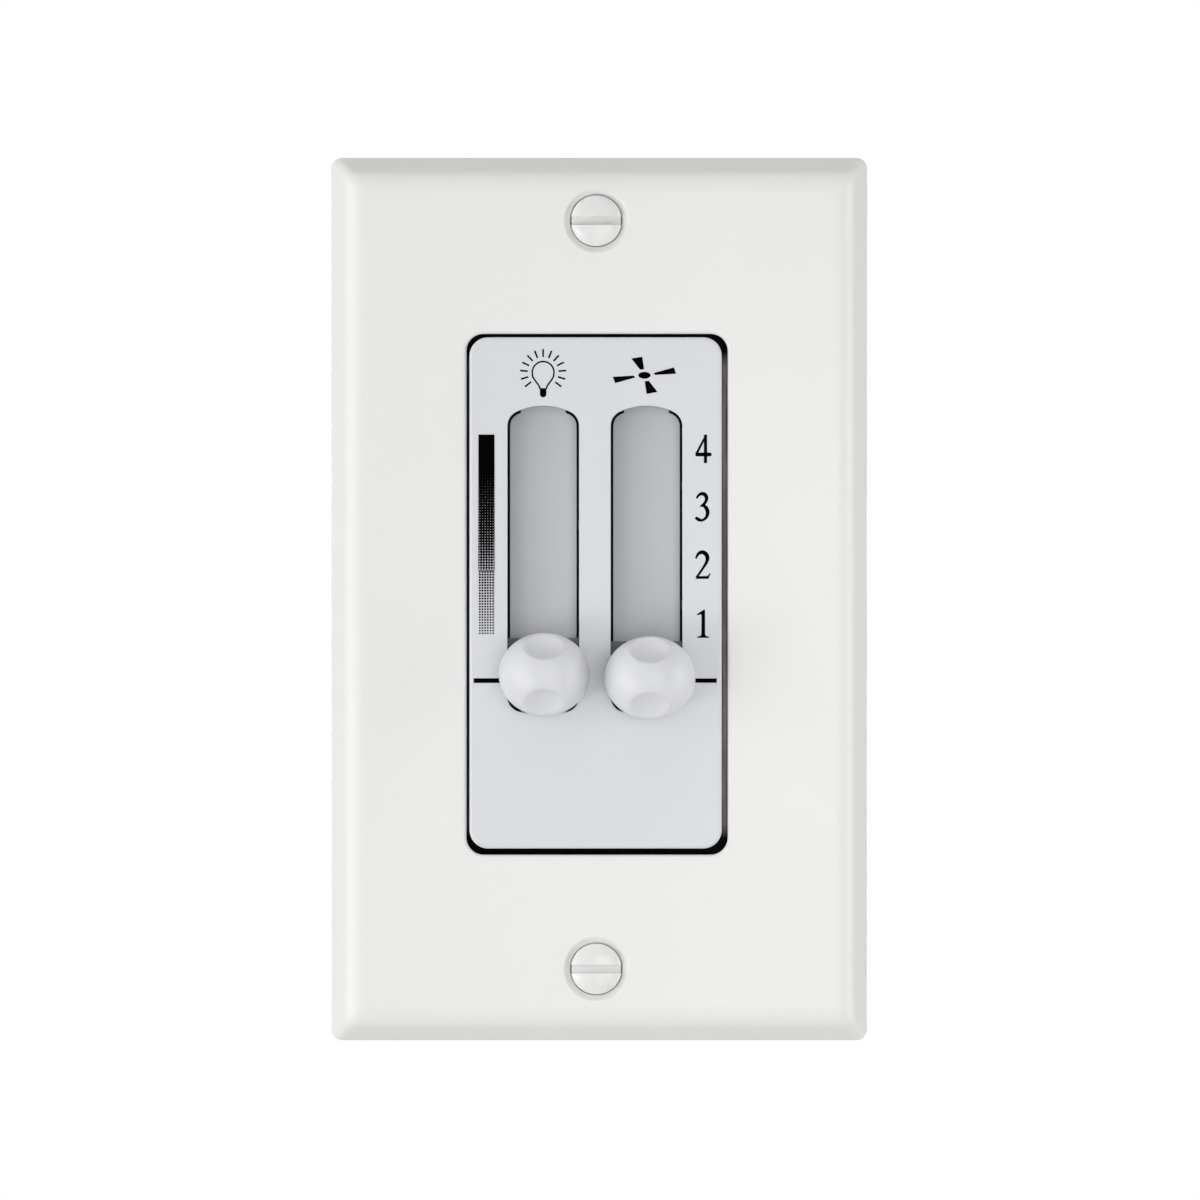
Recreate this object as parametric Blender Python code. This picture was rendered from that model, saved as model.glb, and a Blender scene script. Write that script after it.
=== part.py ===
"""Two-slide wall control: a light dimmer slide and a four-speed fan slide behind a
decorator wall plate, with its strap, rear housing and working parts.

Lengths are millimetres, turned into metres once, where a mesh or a place is made.
The origin is midway between the two plate screws, in the plane of the wall.
The control faces -Y, into the room; +Y goes into the wall; +X is right and +Z is up.
"""

import math

import bmesh
import bpy
from mathutils import Vector

MM = 0.001  # metres in a millimetre
CLEAR = 0.3  # gap kept between two pieces that touch
SNUG = 0.2  # gap round a post or tenon in its socket

# Wall plate: one gang, 4.5 in tall, standing slightly off the middle of its own screws
PLATE_W = 69.5
PLATE_H = 114.3
PLATE_D = 5.6
PLATE_X = 0.4
PLATE_Z = -0.55
PLATE_WALL = 2.0
PLATE_CORNER_R = 1.45
PLATE_RIM = 1.1  # straight part of the rim against the wall
PLATE_RIM_WALL = 1.9
PLATE_FOOT_IN = 0.15  # where the steep bevel starts, measured in from the edge
PLATE_FOOT_OUT = 1.3  # how far out from the wall it starts
PLATE_BEVEL_IN = 1.6  # where the steep bevel ends, measured in from the edge
PLATE_BEVEL_OUT = 3.9  # how far out from the wall the steep bevel ends
PLATE_BEVEL_R = 1.3  # corner radius at the end of the steep bevel
PLATE_SOFT_IN = 4.8  # where the soft shoulder has become the flat face
PLATE_SOFT_R = 1.0
PLATE_HOLLOW_IN = 4.2  # where the hollow back is deepest, measured in from the edge
PLATE_HOLLOW_R = 1.0
PLATE_SCREW_Z = 48.42  # half of the 3.812 in screw spacing
PLATE_BOSS_R = 2.95
PLATE_RIB_T = 0.8
PLATE_RIB_X = 26.0
PLATE_RIB_Z = 37.05
PLATE_RIB_END_Z = 46.0
PLATE_RIB_BACK = -1.6
DISH_R = 4.0  # shallow dish round each plate screw
DISH_DEPTH = 0.4
DISH_STEP = 0.25  # straight wall between the dish and the cone
OPENING_W = 33.8
OPENING_H = 67.4
OPENING_X = 0.11
OPENING_Z = 0.07
OPENING_R = 2.2
OPENING_EDGE_R = 0.4

# Face insert: the white tray that fills the opening, with one slot for each slide
INSERT_W = 32.64
INSERT_H = 66.16
INSERT_X = -0.08
INSERT_Z = 0.25
INSERT_R = 2.4
INSERT_WALL = 1.5
INSERT_FRONT = -6.0
INSERT_BACK = -1.5
INSERT_EDGE_R = 0.45
SLOT_W = 9.27
SLOT_H = 39.9
SLOT_Z = 4.53
SLOT_CORNER_R = 2.0
SLOT_TOP_R = 8.0  # crown of a slot's upper end
SLOT_BOTTOM_R = 16.0  # the lower end is flatter
SLOT_EDGE_R = 0.2
LIGHT_X = -6.85
FAN_X = 6.51

# Guide frame: the pale floor seen through the slots, with a channel along each side
GUIDE_FRONT = -3.3
GUIDE_BACK = -1.9
GUIDE_HALF_W = 14.4
GUIDE_LOW = -21.5
GUIDE_HIGH = 29.0
CHANNEL_IN = 0.33  # the floor's edge, inside the slot's edge
CHANNEL_OUT = 0.95  # the channel's outer wall, outside the slot's edge
FLOOR_BRIDGE_W = 5.8  # the floor joins the frame over this width at each slot end

# Slides: what moves with each knob
TRAVEL = 29.6
FAN_SPEEDS = 4
LIGHT_REST_Z = -10.28
FAN_REST_Z = -10.71
LIGHT_KNOB_DX = 0.13
FAN_KNOB_DX = 0.44
CARRIER_FRONT = -4.2
CARRIER_BACK = -3.6
CARRIER_HALF_W = 5.3
CARRIER_UP = 4.7
CARRIER_DOWN = 3.2
LEG_OUT = 5.3
LEG_IN = 4.6
LEG_HALF_L = 2.2
LEG_END = -1.1
LINK_FRONT = -0.8
LINK_BACK = 0.2
POST_W = 3.2
POST_H = 1.8
POST_FRONT = -11.0

# Knobs: flattened balls with a finger scoop above and below
KNOB_W = 11.85
KNOB_H = 10.85
KNOB_BALL_D = 9.6  # depth of the whole ball, before its back is cut flat
KNOB_MID_Y = -10.4
KNOB_BACK_Y = -6.35
SCOOP_R = 3.4
SCOOP_HALF_W = 5.3
SCOOP_Y = -15.96
SCOOP_Z = 5.16

# Strap: the metal yoke that everything hangs on
STRAP_T = 1.2
STRAP_HALF_W = 22.0
STRAP_BODY_Z = 38.2
STRAP_END_HALF_W = 9.5
STRAP_END_Z = 52.4
BOX_SCREW_Z = 41.65  # half of the 3.281 in device screw spacing
WINDOW_HALF_W = 14.0
WINDOW_LOW = -17.0
WINDOW_HIGH = 26.0
SNAP_X = 12.5
SNAP_Z = 30.2
SNAP_HALF_W = 2.0
SNAP_HALF_T = 0.6
SNAP_WALL_Z = 31.9  # where a snap leg's thick root ends, inside the tray's end wall
SNAP_HOOK = 1.1
SNAP_END = 1.6
GROUND_X = -15.5
GROUND_Z = -41.8
LUG_HALF_W = 4.0
LUG_DOWN = 4.2
BOX_OVAL_L = 7.0
SNAP_OVAL_L = 4.8
SNAP_OVAL_W = 1.9
TRIAC_HOLE_X = -6.0
TRIAC_HOLE_Z = -24.8
TRIAC_HOLE_R = 1.6
TRIAC_HALF_H = 5.0
TRIAC_TAB_T = 1.3
TRIAC_BODY_T = 4.4
TRIAC_BODY_X = (3.4, 12.4)  # the body's ends, to the right of the hole
TRIAC_LEG_PITCH = 2.54
TRIAC_LEG_R = 0.38
TRIAC_PAD_T = 0.3
RIVET_R = 1.3
RIVET_HEAD_R = 2.4
RIVET_TAIL_R = 2.2

# Screws: 6-32 in the plate, the box and the ground lug, thinner ones in the housing
SCREW_R = 1.65
SCREW_HOLE_R = SCREW_R + CLEAR
PLATE_SCREW_HEAD_R = 3.3
PLATE_SCREW_SUNK = 0.22  # the head's rim, behind the plate's face
PLATE_SCREW_RISE = 1.0  # height of the oval head's dome
PLATE_SCREW_RIM = 0.15
PLATE_SCREW_CONE = 1.6
PLATE_SCREW_SLOT = 0.55  # half of the driver slot's width
PLATE_SCREW_END = 5.0
BOX_SCREW_HEAD_R = 3.5
BOX_SCREW_HEAD_T = 1.8
BOX_SCREW_END = 22.0
WASHER_HALF = 4.2
WASHER_T = 0.7
GROUND_FLANGE_R = 3.6
GROUND_HEX_R = 3.0
HOUSING_SCREW_R = 1.1
HOUSING_SCREW_HEAD_R = 2.3
HOUSING_SCREW_HOLE_R = HOUSING_SCREW_R + CLEAR
HOUSING_SCREW_FRONT = -2.2

# Rear housing
HOUSING_HALF_W = 21.5
HOUSING_HALF_H = 33.0
HOUSING_WALL = 1.6
HOUSING_FRONT = 0.3
HOUSING_BACK = 31.0
HOUSING_R = 2.5
EAR_X = 14.0
EAR_Z = 35.6
EAR_T = 2.0
EAR_W = 7.0
EAR_H = 8.0
PILLAR_W = 2.5
PILLAR_H = 2.0
PANEL_W = 30.0  # blank recessed panel on the housing's back
PANEL_H = 26.0
PANEL_Z = 8.0
PANEL_DEPTH = 0.5
LEAD_X = (-10.0, 0.0, 10.0)
LEAD_Z = -24.5
LEAD_HOLE_R = 1.8
BUSH_WALL = 1.0
BUSH_FLANGE = 2.0
BUSH_OUT = 1.8

# Circuit board and the two slide elements in front of it
BOARD_FRONT = 8.3
BOARD_BACK = 9.9
BOARD_HALF_W = 19.0
BOARD_HALF_H = 30.0
CHOKE_X = -10.5
CHOKE_Z = -17.0
CHOKE_MID_R = 6.3
CHOKE_HALF_T = 1.7
CHOKE_HALF_D = 3.0
CHOKE_MID_Y = 15.0
CHOKE_CHAMFER = 0.6
CHOKE_WIRE_R = 0.4
CHOKE_TURNS = 16
CHOKE_SPREAD = 320  # degrees of the core that the winding covers
LEAD_WIRE_R = 0.3
SMALL_PARTS_X = 7.5
# width, height and depth of each capacitor, and the height of its middle
LARGE_CAP = (32, 16, 18)
LARGE_CAP_Z = 18.5
SMALL_CAP = (26, 14, 12)
SMALL_CAP_Z = 2.0
DIMMER_CAP = (13, 10, 6)
DIMMER_CAP_Z = -11.0
# body radius, half its length and half the span of the leads, and the height of each part
DIAC = (0.95, 2.1, 4.5)
DIAC_Z = -17.0
RESISTOR = (1.2, 3.2, 5.5)
BLEED_Z = -20.5
TIMING_Z = -24.5
CASE_HALF_W = 4.5
CASE_HALF_L = 22.5
CASE_WALL = 0.6
CASE_FRONT = 1.2
CASE_BACK = 7.5
CASE_Z = 4.3
TRACK_FRONT = 6.4
TRACK_BACK = 7.4
PIN_END = 8.0
CARRIAGE_FRONT = 2.2
CARRIAGE_BACK = 5.2
CARRIAGE_HALF_L = 3.5
LIGHT_CARRIAGE_HALF_W = 3.3
FAN_CARRIAGE_HALF_W = 2.4
LEAF_HALF_W = 2.2
LEAF_T = 0.2
TENON_STEP = 0.8
BLADE_HALF_T = 0.6
BLADE_HALF_L = 2.0
BLADE_FRONT = -1.0

# Fan detent: a sprung ball in the carriage, pressed against a notched strip
DETENT_Y = 3.7
BALL_R = 0.85
BALL_X = 2.1
CREST_X = 3.1
NOTCH_DEPTH = 0.4
NOTCH_HALF_L = 1.1
STRIP_OUT = 3.7
BORE_R = 1.0
BORE_END = -1.4
SPRING_R = 0.6
SPRING_WIRE_R = 0.13
SPRING_TURNS = 5

# Colour, roughness and metallic value of each kind of surface
FINISHES = {
    "plate_white": ((0.83, 0.83, 0.82), 0.32, 0.0),
    "insert_white": ((0.76, 0.77, 0.79), 0.38, 0.0),
    "knob_white": ((0.86, 0.86, 0.87), 0.2, 0.0),
    "floor_grey": ((0.62, 0.63, 0.65), 0.5, 0.0),
    "carrier_grey": ((0.35, 0.36, 0.36), 0.5, 0.0),
    "painted_steel": ((0.8, 0.8, 0.79), 0.3, 0.3),
    "zinc_steel": ((0.66, 0.66, 0.64), 0.35, 1.0),
    "black_anodised": ((0.035, 0.035, 0.037), 0.42, 0.6),
    "green_steel": ((0.08, 0.4, 0.14), 0.35, 0.8),
    "fibre": ((0.3, 0.22, 0.16), 0.8, 0.0),
    "black_plastic": ((0.03, 0.03, 0.032), 0.5, 0.0),
    "board_green": ((0.05, 0.2, 0.1), 0.45, 0.0),
    "phenolic": ((0.3, 0.17, 0.08), 0.6, 0.0),
    "brass": ((0.78, 0.6, 0.28), 0.35, 1.0),
    "capacitor_grey": ((0.55, 0.56, 0.56), 0.5, 0.0),
    "capacitor_yellow": ((0.85, 0.6, 0.08), 0.45, 0.0),
    "ferrite": ((0.55, 0.56, 0.2), 0.6, 0.0),
    "copper": ((0.72, 0.3, 0.12), 0.3, 1.0),
    "resistor_tan": ((0.6, 0.45, 0.3), 0.5, 0.0),
    "diode_blue": ((0.1, 0.2, 0.5), 0.4, 0.0),
    "silicone_pad": ((0.5, 0.52, 0.6), 0.7, 0.0),
}


# ---- building blocks ----


def clear_scene():
    for old in list(bpy.data.objects):
        bpy.data.objects.remove(old)


def metres(point):
    return Vector(point) * MM


def solid(name, points, faces):
    """Make an object from points in millimetres, with its faces pointing out."""
    shape = bmesh.new()
    corners = [shape.verts.new(metres(p)) for p in points]
    for face in faces:
        shape.faces.new([corners[i] for i in face])
    bmesh.ops.recalc_face_normals(shape, faces=shape.faces)
    mesh = bpy.data.meshes.new(name)
    shape.to_mesh(mesh)
    shape.free()
    made = bpy.data.objects.new(name, mesh)
    bpy.context.scene.collection.objects.link(made)
    return made


def loft(name, loops, ring=False):
    """Skin loops of equal length; a ring joins the last loop to the first, else ends are capped."""
    count = len(loops[0])
    points = [p for loop in loops for p in loop]
    faces = []
    pairs = [(i, i + 1) for i in range(len(loops) - 1)]
    if ring:
        pairs.append((len(loops) - 1, 0))
    else:
        faces.append(list(range(count)))
        faces.append(list(range((len(loops) - 1) * count, len(loops) * count)))
    for low, high in pairs:
        for k in range(count):
            after = (k + 1) % count
            near = (low * count + k, low * count + after)
            far = (high * count + after, high * count + k)
            faces.append([*near, *far])
    return solid(name, points, faces)


def box(name, x, y, z):
    """A box from a (low, high) pair along each axis."""
    loops = [[(x[0], b, z[0]), (x[1], b, z[0]), (x[1], b, z[1]), (x[0], b, z[1])] for b in y]
    return loft(name, loops)


def at_y(outline, y):
    return [(x, y, z) for x, z in outline]


def prism(name, outline, front, back):
    """An (x, z) outline carried straight from y = front to y = back."""
    return loft(name, [at_y(outline, front), at_y(outline, back)])


def turned(name, profile, x=0.0, z=0.0, sides=24):
    """Turn a profile of (radius, y) pairs about the Y direction through (x, z)."""
    angles = [2 * math.pi * k / sides for k in range(sides)]
    loops = [[(x + r * math.cos(a), y, z + r * math.sin(a)) for a in angles] for r, y in profile]
    return loft(name, loops)


def turned_ring(name, profile, x=0.0, z=0.0, sides=24):
    """Turn a closed profile that stays clear of the axis, such as a washer's section."""
    angles = [2 * math.pi * k / sides for k in range(sides)]
    loops = [[(x + r * math.cos(a), y, z + r * math.sin(a)) for a in angles] for r, y in profile]
    return loft(name, loops, ring=True)


def rod(name, path, radius, sides=8):
    """A round rod or wire along a list of points, with flat ends."""
    path = [Vector(p) for p in path]
    loops = []
    across = None
    for i, here in enumerate(path):
        before = path[max(i - 1, 0)]
        after = path[min(i + 1, len(path) - 1)]
        along = (after - before).normalized()
        if across is None:
            across = along.orthogonal().normalized()
        across = (across - along * across.dot(along)).normalized()
        other = along.cross(across)
        turns = [2 * math.pi * k / sides for k in range(sides)]
        loops.append([here + (across * math.cos(t) + other * math.sin(t)) * radius for t in turns])
    return loft(name, loops)


def arc(centre, radius, start, end, steps):
    """Points of an arc, angles in degrees, both ends included."""
    angles = [math.radians(start + (end - start) * k / steps) for k in range(steps + 1)]
    return [(centre[0] + radius * math.cos(a), centre[1] + radius * math.sin(a)) for a in angles]


def rounded_rect(width, height, radius, x=0.0, z=0.0, steps=5):
    """Outline of a rectangle with round corners, starting at the right of its upper edge."""
    right = width / 2 - radius
    top = height / 2 - radius
    places = [(right, top, 0), (-right, top, 90), (-right, -top, 180), (right, -top, 270)]
    outline = []
    for dx, dz, start in places:
        outline += arc((x + dx, z + dz), radius, start, start + 90, steps)
    return outline


def rounded_polygon(corners, steps=3):
    """Outline through (x, z, radius) corners, each one rounded off by its own radius."""
    outline = []
    for i, (x, z, radius) in enumerate(corners):
        here = Vector((x, z))
        to_before = (Vector(corners[i - 1][:2]) - here).normalized()
        to_after = (Vector(corners[(i + 1) % len(corners)][:2]) - here).normalized()
        half = to_before.angle(to_after) / 2
        reach = radius / math.tan(half)
        centre = here + (to_before + to_after).normalized() * radius / math.sin(half)
        first = here + to_before * reach - centre
        last = here + to_after * reach - centre
        for k in range(steps + 1):
            mix = first.lerp(last, k / steps).normalized() * radius
            outline.append(tuple(centre + mix))
    return outline


def slot_outline(x, grow=0.0, z=SLOT_Z):
    """Outline of a slot with round corners and two crowned ends, made bigger by grow."""
    half_w = SLOT_W / 2 + grow
    half_h = SLOT_H / 2 + grow
    corner = SLOT_CORNER_R + grow
    over = half_w - corner
    outline = []
    for end, end_r in ((1, SLOT_TOP_R), (-1, SLOT_BOTTOM_R)):
        crown = end_r + grow
        rise = math.sqrt((crown - corner) ** 2 - over**2)
        turn = math.degrees(math.atan2(rise, over))
        mid_z = half_h - crown
        corner_z = mid_z + rise
        curve = arc((over, corner_z), corner, 0, turn, 4)
        curve += arc((0, mid_z), crown, turn, 180 - turn, 6)[1:-1]
        curve += arc((-over, corner_z), corner, 180 - turn, 180, 4)
        outline += [(end * a, end * b) for a, b in curve]
    return [(x + a, z + b) for a, b in outline]


def combine(target, others, operation):
    """Cut, join or keep the overlap with each of the others, which are used up."""
    for other in others:
        step = target.modifiers.new("combine", "BOOLEAN")
        step.operation = operation
        step.object = other
    graph = bpy.context.evaluated_depsgraph_get()
    result = bpy.data.meshes.new_from_object(target.evaluated_get(graph))
    before = target.data
    target.modifiers.clear()
    target.data = result
    bpy.data.meshes.remove(before)
    for other in others:
        bpy.data.objects.remove(other)
    return target


def cut(target, *cutters):
    return combine(target, cutters, "DIFFERENCE")


def join(target, *others):
    return combine(target, others, "UNION")


def soften(part, width, segments=2):
    """Round the sharp edges."""
    edge = part.modifiers.new("edges", "BEVEL")
    edge.width = width * MM
    edge.segments = segments
    edge.limit_method = "ANGLE"
    return part


def finish(part, kind, parent=None):
    """Give the part its own material and smooth shading, and hang it on its parent."""
    colour, roughness, metallic = FINISHES[kind]
    look = bpy.data.materials.new(part.name)
    look.use_nodes = True
    shader = look.node_tree.nodes["Principled BSDF"]
    shader.inputs["Base Color"].default_value = (*colour, 1.0)
    shader.inputs["Roughness"].default_value = roughness
    shader.inputs["Metallic"].default_value = metallic
    part.data.materials.clear()
    part.data.materials.append(look)
    part.data.shade_smooth()
    part.data.set_sharp_from_angle(angle=math.radians(32))
    part.parent = parent
    return part


def joint_axis(name, place, parent=None):
    """An empty on a joint's axis, which carries the pieces that the joint moves."""
    axis = bpy.data.objects.new(name, None)
    axis.empty_display_size = 3 * MM
    bpy.context.scene.collection.objects.link(axis)
    axis.location = metres(place)
    axis.parent = parent
    return axis


# ---- wall plate, insert and guide frame ----


def plate_outline(inset, radius):
    return rounded_rect(PLATE_W - 2 * inset, PLATE_H - 2 * inset, radius, PLATE_X, PLATE_Z)


def plate_outer_loops():
    """From the rim at the wall, up the steep bevel and over the soft shoulder."""
    loops = [at_y(plate_outline(0, PLATE_CORNER_R), 0)]
    loops.append(at_y(plate_outline(0, PLATE_CORNER_R), -PLATE_RIM))
    foot = Vector((PLATE_FOOT_IN, PLATE_FOOT_OUT))
    top = Vector((PLATE_BEVEL_IN, PLATE_BEVEL_OUT))
    slope = (top.y - foot.y) / (top.x - foot.x)
    knee = Vector((top.x + (PLATE_D - top.y) / slope, PLATE_D))
    end = Vector((PLATE_SOFT_IN, PLATE_D))
    loops.append(at_y(plate_outline(foot.x, PLATE_CORNER_R), -foot.y))
    steps = 6
    for k in range(steps + 1):
        t = k / steps
        place = top.lerp(knee, t).lerp(knee.lerp(end, t), t)
        radius = PLATE_BEVEL_R + (PLATE_SOFT_R - PLATE_BEVEL_R) * t
        loops.append(at_y(plate_outline(place.x, radius), -place.y))
    return loops


def plate_opening_loops():
    """From the face, round the opening's soft edge and back through the plate."""
    loops = []
    steps = 3
    for k in range(steps + 1):
        a = math.radians(90 * k / steps)
        grow = OPENING_EDGE_R * (1 - math.sin(a))
        depth = OPENING_EDGE_R * (1 - math.cos(a))
        size = (OPENING_W + 2 * grow, OPENING_H + 2 * grow, OPENING_R + grow)
        loops.append(at_y(rounded_rect(*size, OPENING_X, OPENING_Z), depth - PLATE_D))
    last = rounded_rect(OPENING_W, OPENING_H, OPENING_R, OPENING_X, OPENING_Z)
    loops.append(at_y(last, PLATE_WALL - PLATE_D))
    return loops


def plate_inner_loops():
    """The hollow back, from the opening out to the rim."""
    shoulder = at_y(plate_outline(PLATE_HOLLOW_IN, PLATE_HOLLOW_R), PLATE_WALL - PLATE_D)
    slope_foot = at_y(plate_outline(PLATE_RIM_WALL, PLATE_HOLLOW_R), -PLATE_RIM + 0.2)
    rim = at_y(plate_outline(PLATE_RIM_WALL, PLATE_HOLLOW_R), 0)
    return [shoulder, slope_foot, rim]


def plate_countersink(z):
    """A shallow dish with a steep cone in it, for one oval head."""
    head = PLATE_SCREW_HEAD_R + CLEAR / 2
    bore = SCREW_HOLE_R + CLEAR / 2
    profile = [
        (DISH_R + DISH_DEPTH, -PLATE_D - DISH_DEPTH),
        (DISH_R, -PLATE_D),
        (head, -PLATE_D + DISH_DEPTH),
        (head, -PLATE_D + DISH_DEPTH + DISH_STEP),
        (bore, PLATE_WALL - PLATE_D - 0.1),
        (bore, 0),
    ]
    return turned("countersink", profile, z=z, sides=32)


def plate_stiffening():
    """Four ribs round the opening and a boss round each screw, on the plate's hollow back."""
    front = PLATE_WALL - PLATE_D - 0.2
    depth = (front, PLATE_RIB_BACK)
    added = []
    for side in (-1, 1):
        x = sorted((side * PLATE_RIB_X, side * (PLATE_RIB_X + PLATE_RIB_T)))
        added.append(box("rib", x, depth, (-PLATE_RIB_END_Z, PLATE_RIB_END_Z)))
        z = sorted((side * PLATE_RIB_Z, side * (PLATE_RIB_Z + PLATE_RIB_T)))
        added.append(box("rib", (-PLATE_RIB_X - 0.2, PLATE_RIB_X + 0.2), depth, z))
        boss = [(PLATE_BOSS_R, front), (PLATE_BOSS_R, PLATE_RIB_BACK)]
        added.append(turned("boss", boss, z=side * PLATE_SCREW_Z))
    return added


def wall_plate():
    loops = plate_outer_loops() + plate_opening_loops() + plate_inner_loops()
    plate = loft("wall_plate", loops, ring=True)
    join(plate, *plate_stiffening())
    cut(plate, plate_countersink(PLATE_SCREW_Z), plate_countersink(-PLATE_SCREW_Z))
    finish(plate, "plate_white")


def plate_screw(name, z):
    """Slotted oval-head screw, sunk in the plate and threaded through the strap."""
    rim = -PLATE_D + PLATE_SCREW_SUNK
    cone = rim + PLATE_SCREW_RIM
    steps = 5
    profile = []
    for k in range(steps):
        a = math.radians(90 * (k + 0.35) / (steps + 0.35))
        profile.append((PLATE_SCREW_HEAD_R * math.sin(a), rim - PLATE_SCREW_RISE * math.cos(a)))
    profile += [
        (PLATE_SCREW_HEAD_R, rim),
        (PLATE_SCREW_HEAD_R, cone),
        (SCREW_R, cone + PLATE_SCREW_CONE),
        (SCREW_R, PLATE_SCREW_END - 0.6),
        (SCREW_R - 0.5, PLATE_SCREW_END),
    ]
    screw = turned(name, profile, z=z)
    slot_z = (z - PLATE_SCREW_SLOT, z + PLATE_SCREW_SLOT)
    cut(screw, box("slot", (-4, 4), (rim - 2, rim - 0.05), slot_z))
    finish(screw, "painted_steel")


def insert_outline(inset):
    size = (INSERT_W - 2 * inset, INSERT_H - 2 * inset, INSERT_R - inset)
    return rounded_rect(*size, INSERT_X, INSERT_Z)


def slot_cutter(x):
    """A slot through the insert's face, with a small round on its front edge."""
    loops = [at_y(slot_outline(x), INSERT_FRONT + INSERT_WALL + 1)]
    steps = 2
    for k in range(steps + 1):
        a = math.radians(90 * k / steps)
        grow = SLOT_EDGE_R * (1 - math.cos(a))
        front = INSERT_FRONT + SLOT_EDGE_R * (1 - math.sin(a))
        loops.append(at_y(slot_outline(x, grow), front))
    loops.append(at_y(slot_outline(x, SLOT_EDGE_R), INSERT_FRONT - 1))
    return loft("slot", loops)


def snap_leg(side_x, side_z):
    """A springy leg on the tray's end wall, hooked behind the strap."""
    x = (side_x * SNAP_X - SNAP_HALF_W, side_x * SNAP_X + SNAP_HALF_W)
    inner = SNAP_Z - SNAP_HALF_T
    outer = SNAP_Z + SNAP_HALF_T
    section = [
        (SNAP_WALL_Z, INSERT_FRONT + 1),
        (SNAP_WALL_Z, INSERT_BACK),
        (outer, INSERT_BACK),
        (outer, SNAP_END),
        (inner, SNAP_END),
        (inner - SNAP_HOOK, CLEAR + 0.2),
        (inner - SNAP_HOOK, CLEAR),
        (inner, CLEAR),
        (inner, INSERT_FRONT + 1),
    ]
    loops = [[(a, y, side_z * z) for z, y in section] for a in x]
    return loft("leg", loops)


def face_insert():
    wall = INSERT_WALL
    loops = [
        at_y(insert_outline(wall), INSERT_FRONT + wall),
        at_y(insert_outline(wall), INSERT_BACK),
        at_y(insert_outline(0), INSERT_BACK),
    ]
    steps = 3
    for k in range(steps + 1):
        a = math.radians(90 * k / steps)
        inset = INSERT_EDGE_R * (1 - math.cos(a))
        front = INSERT_FRONT + INSERT_EDGE_R * (1 - math.sin(a))
        loops.append(at_y(insert_outline(inset), front))
    insert = loft("face_insert", loops)
    cut(insert, slot_cutter(LIGHT_X), slot_cutter(FAN_X))
    join(insert, *[snap_leg(a, b) for a in (-1, 1) for b in (-1, 1)])
    finish(insert, "insert_white")


def channel_cutter(x):
    """The two channels beside one floor, bowed in at the slot's ends and open in the middle."""
    ring = prism("channel", slot_outline(x, CHANNEL_OUT), GUIDE_FRONT - 1, GUIDE_BACK + 1)
    floor = prism("floor", slot_outline(x, -CHANNEL_IN), GUIDE_FRONT - 2, GUIDE_BACK + 2)
    half = FLOOR_BRIDGE_W / 2
    ends = SLOT_H / 2 + 3
    bridge = box(
        "bridge",
        (x - half, x + half),
        (GUIDE_FRONT - 3, GUIDE_BACK + 3),
        (SLOT_Z - ends, SLOT_Z + ends),
    )
    return cut(ring, floor, bridge)


def guide_frame():
    """A plate with four channels, standing on the strap on a foot at each end."""
    wide = (-GUIDE_HALF_W, GUIDE_HALF_W)
    plate = box("guide_frame", wide, (GUIDE_FRONT, GUIDE_BACK), (GUIDE_LOW, GUIDE_HIGH))
    foot_y = (GUIDE_BACK - 0.4, -STRAP_T - CLEAR)
    low_foot = box("foot", wide, foot_y, (GUIDE_LOW, WINDOW_LOW - 1.2))
    high_foot = box("foot", wide, foot_y, (WINDOW_HIGH + 0.6, GUIDE_HIGH))
    join(plate, low_foot, high_foot)
    cut(plate, channel_cutter(LIGHT_X), channel_cutter(FAN_X))
    finish(plate, "floor_grey")


# ---- strap, its screws and the rear housing ----


def strap_outline():
    """Right half from the top down, then the left half with the ground lug."""
    wide = STRAP_HALF_W
    end = STRAP_END_HALF_W
    body = STRAP_BODY_Z
    tip = STRAP_END_Z
    lug_z = GROUND_Z - LUG_DOWN
    corners = [
        (end, tip, 3.0),
        (end, body, 2.0),
        (wide, body, 2.5),
        (wide, -body, 2.5),
        (end, -body, 2.0),
        (end, -tip, 3.0),
        (-end, -tip, 3.0),
        (-end, -body, 0.8),
        (GROUND_X + LUG_HALF_W, -body, 0.8),
        (GROUND_X + LUG_HALF_W, lug_z, 2.0),
        (GROUND_X - LUG_HALF_W, lug_z, 2.0),
        (GROUND_X - LUG_HALF_W, -body, 0.8),
        (-wide, -body, 2.0),
        (-wide, body, 2.5),
        (-end, body, 2.0),
        (-end, tip, 3.0),
    ]
    return rounded_polygon(corners)


def hole(radius, x, z, front=-5.0, back=5.0, sides=14):
    return turned("hole", [(radius, front), (radius, back)], x, z, sides)


def oval_hole(length, width, x, z):
    return prism("oval", rounded_rect(length, width, width / 2 - 0.01, x, z, steps=3), -5, 5)


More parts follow.
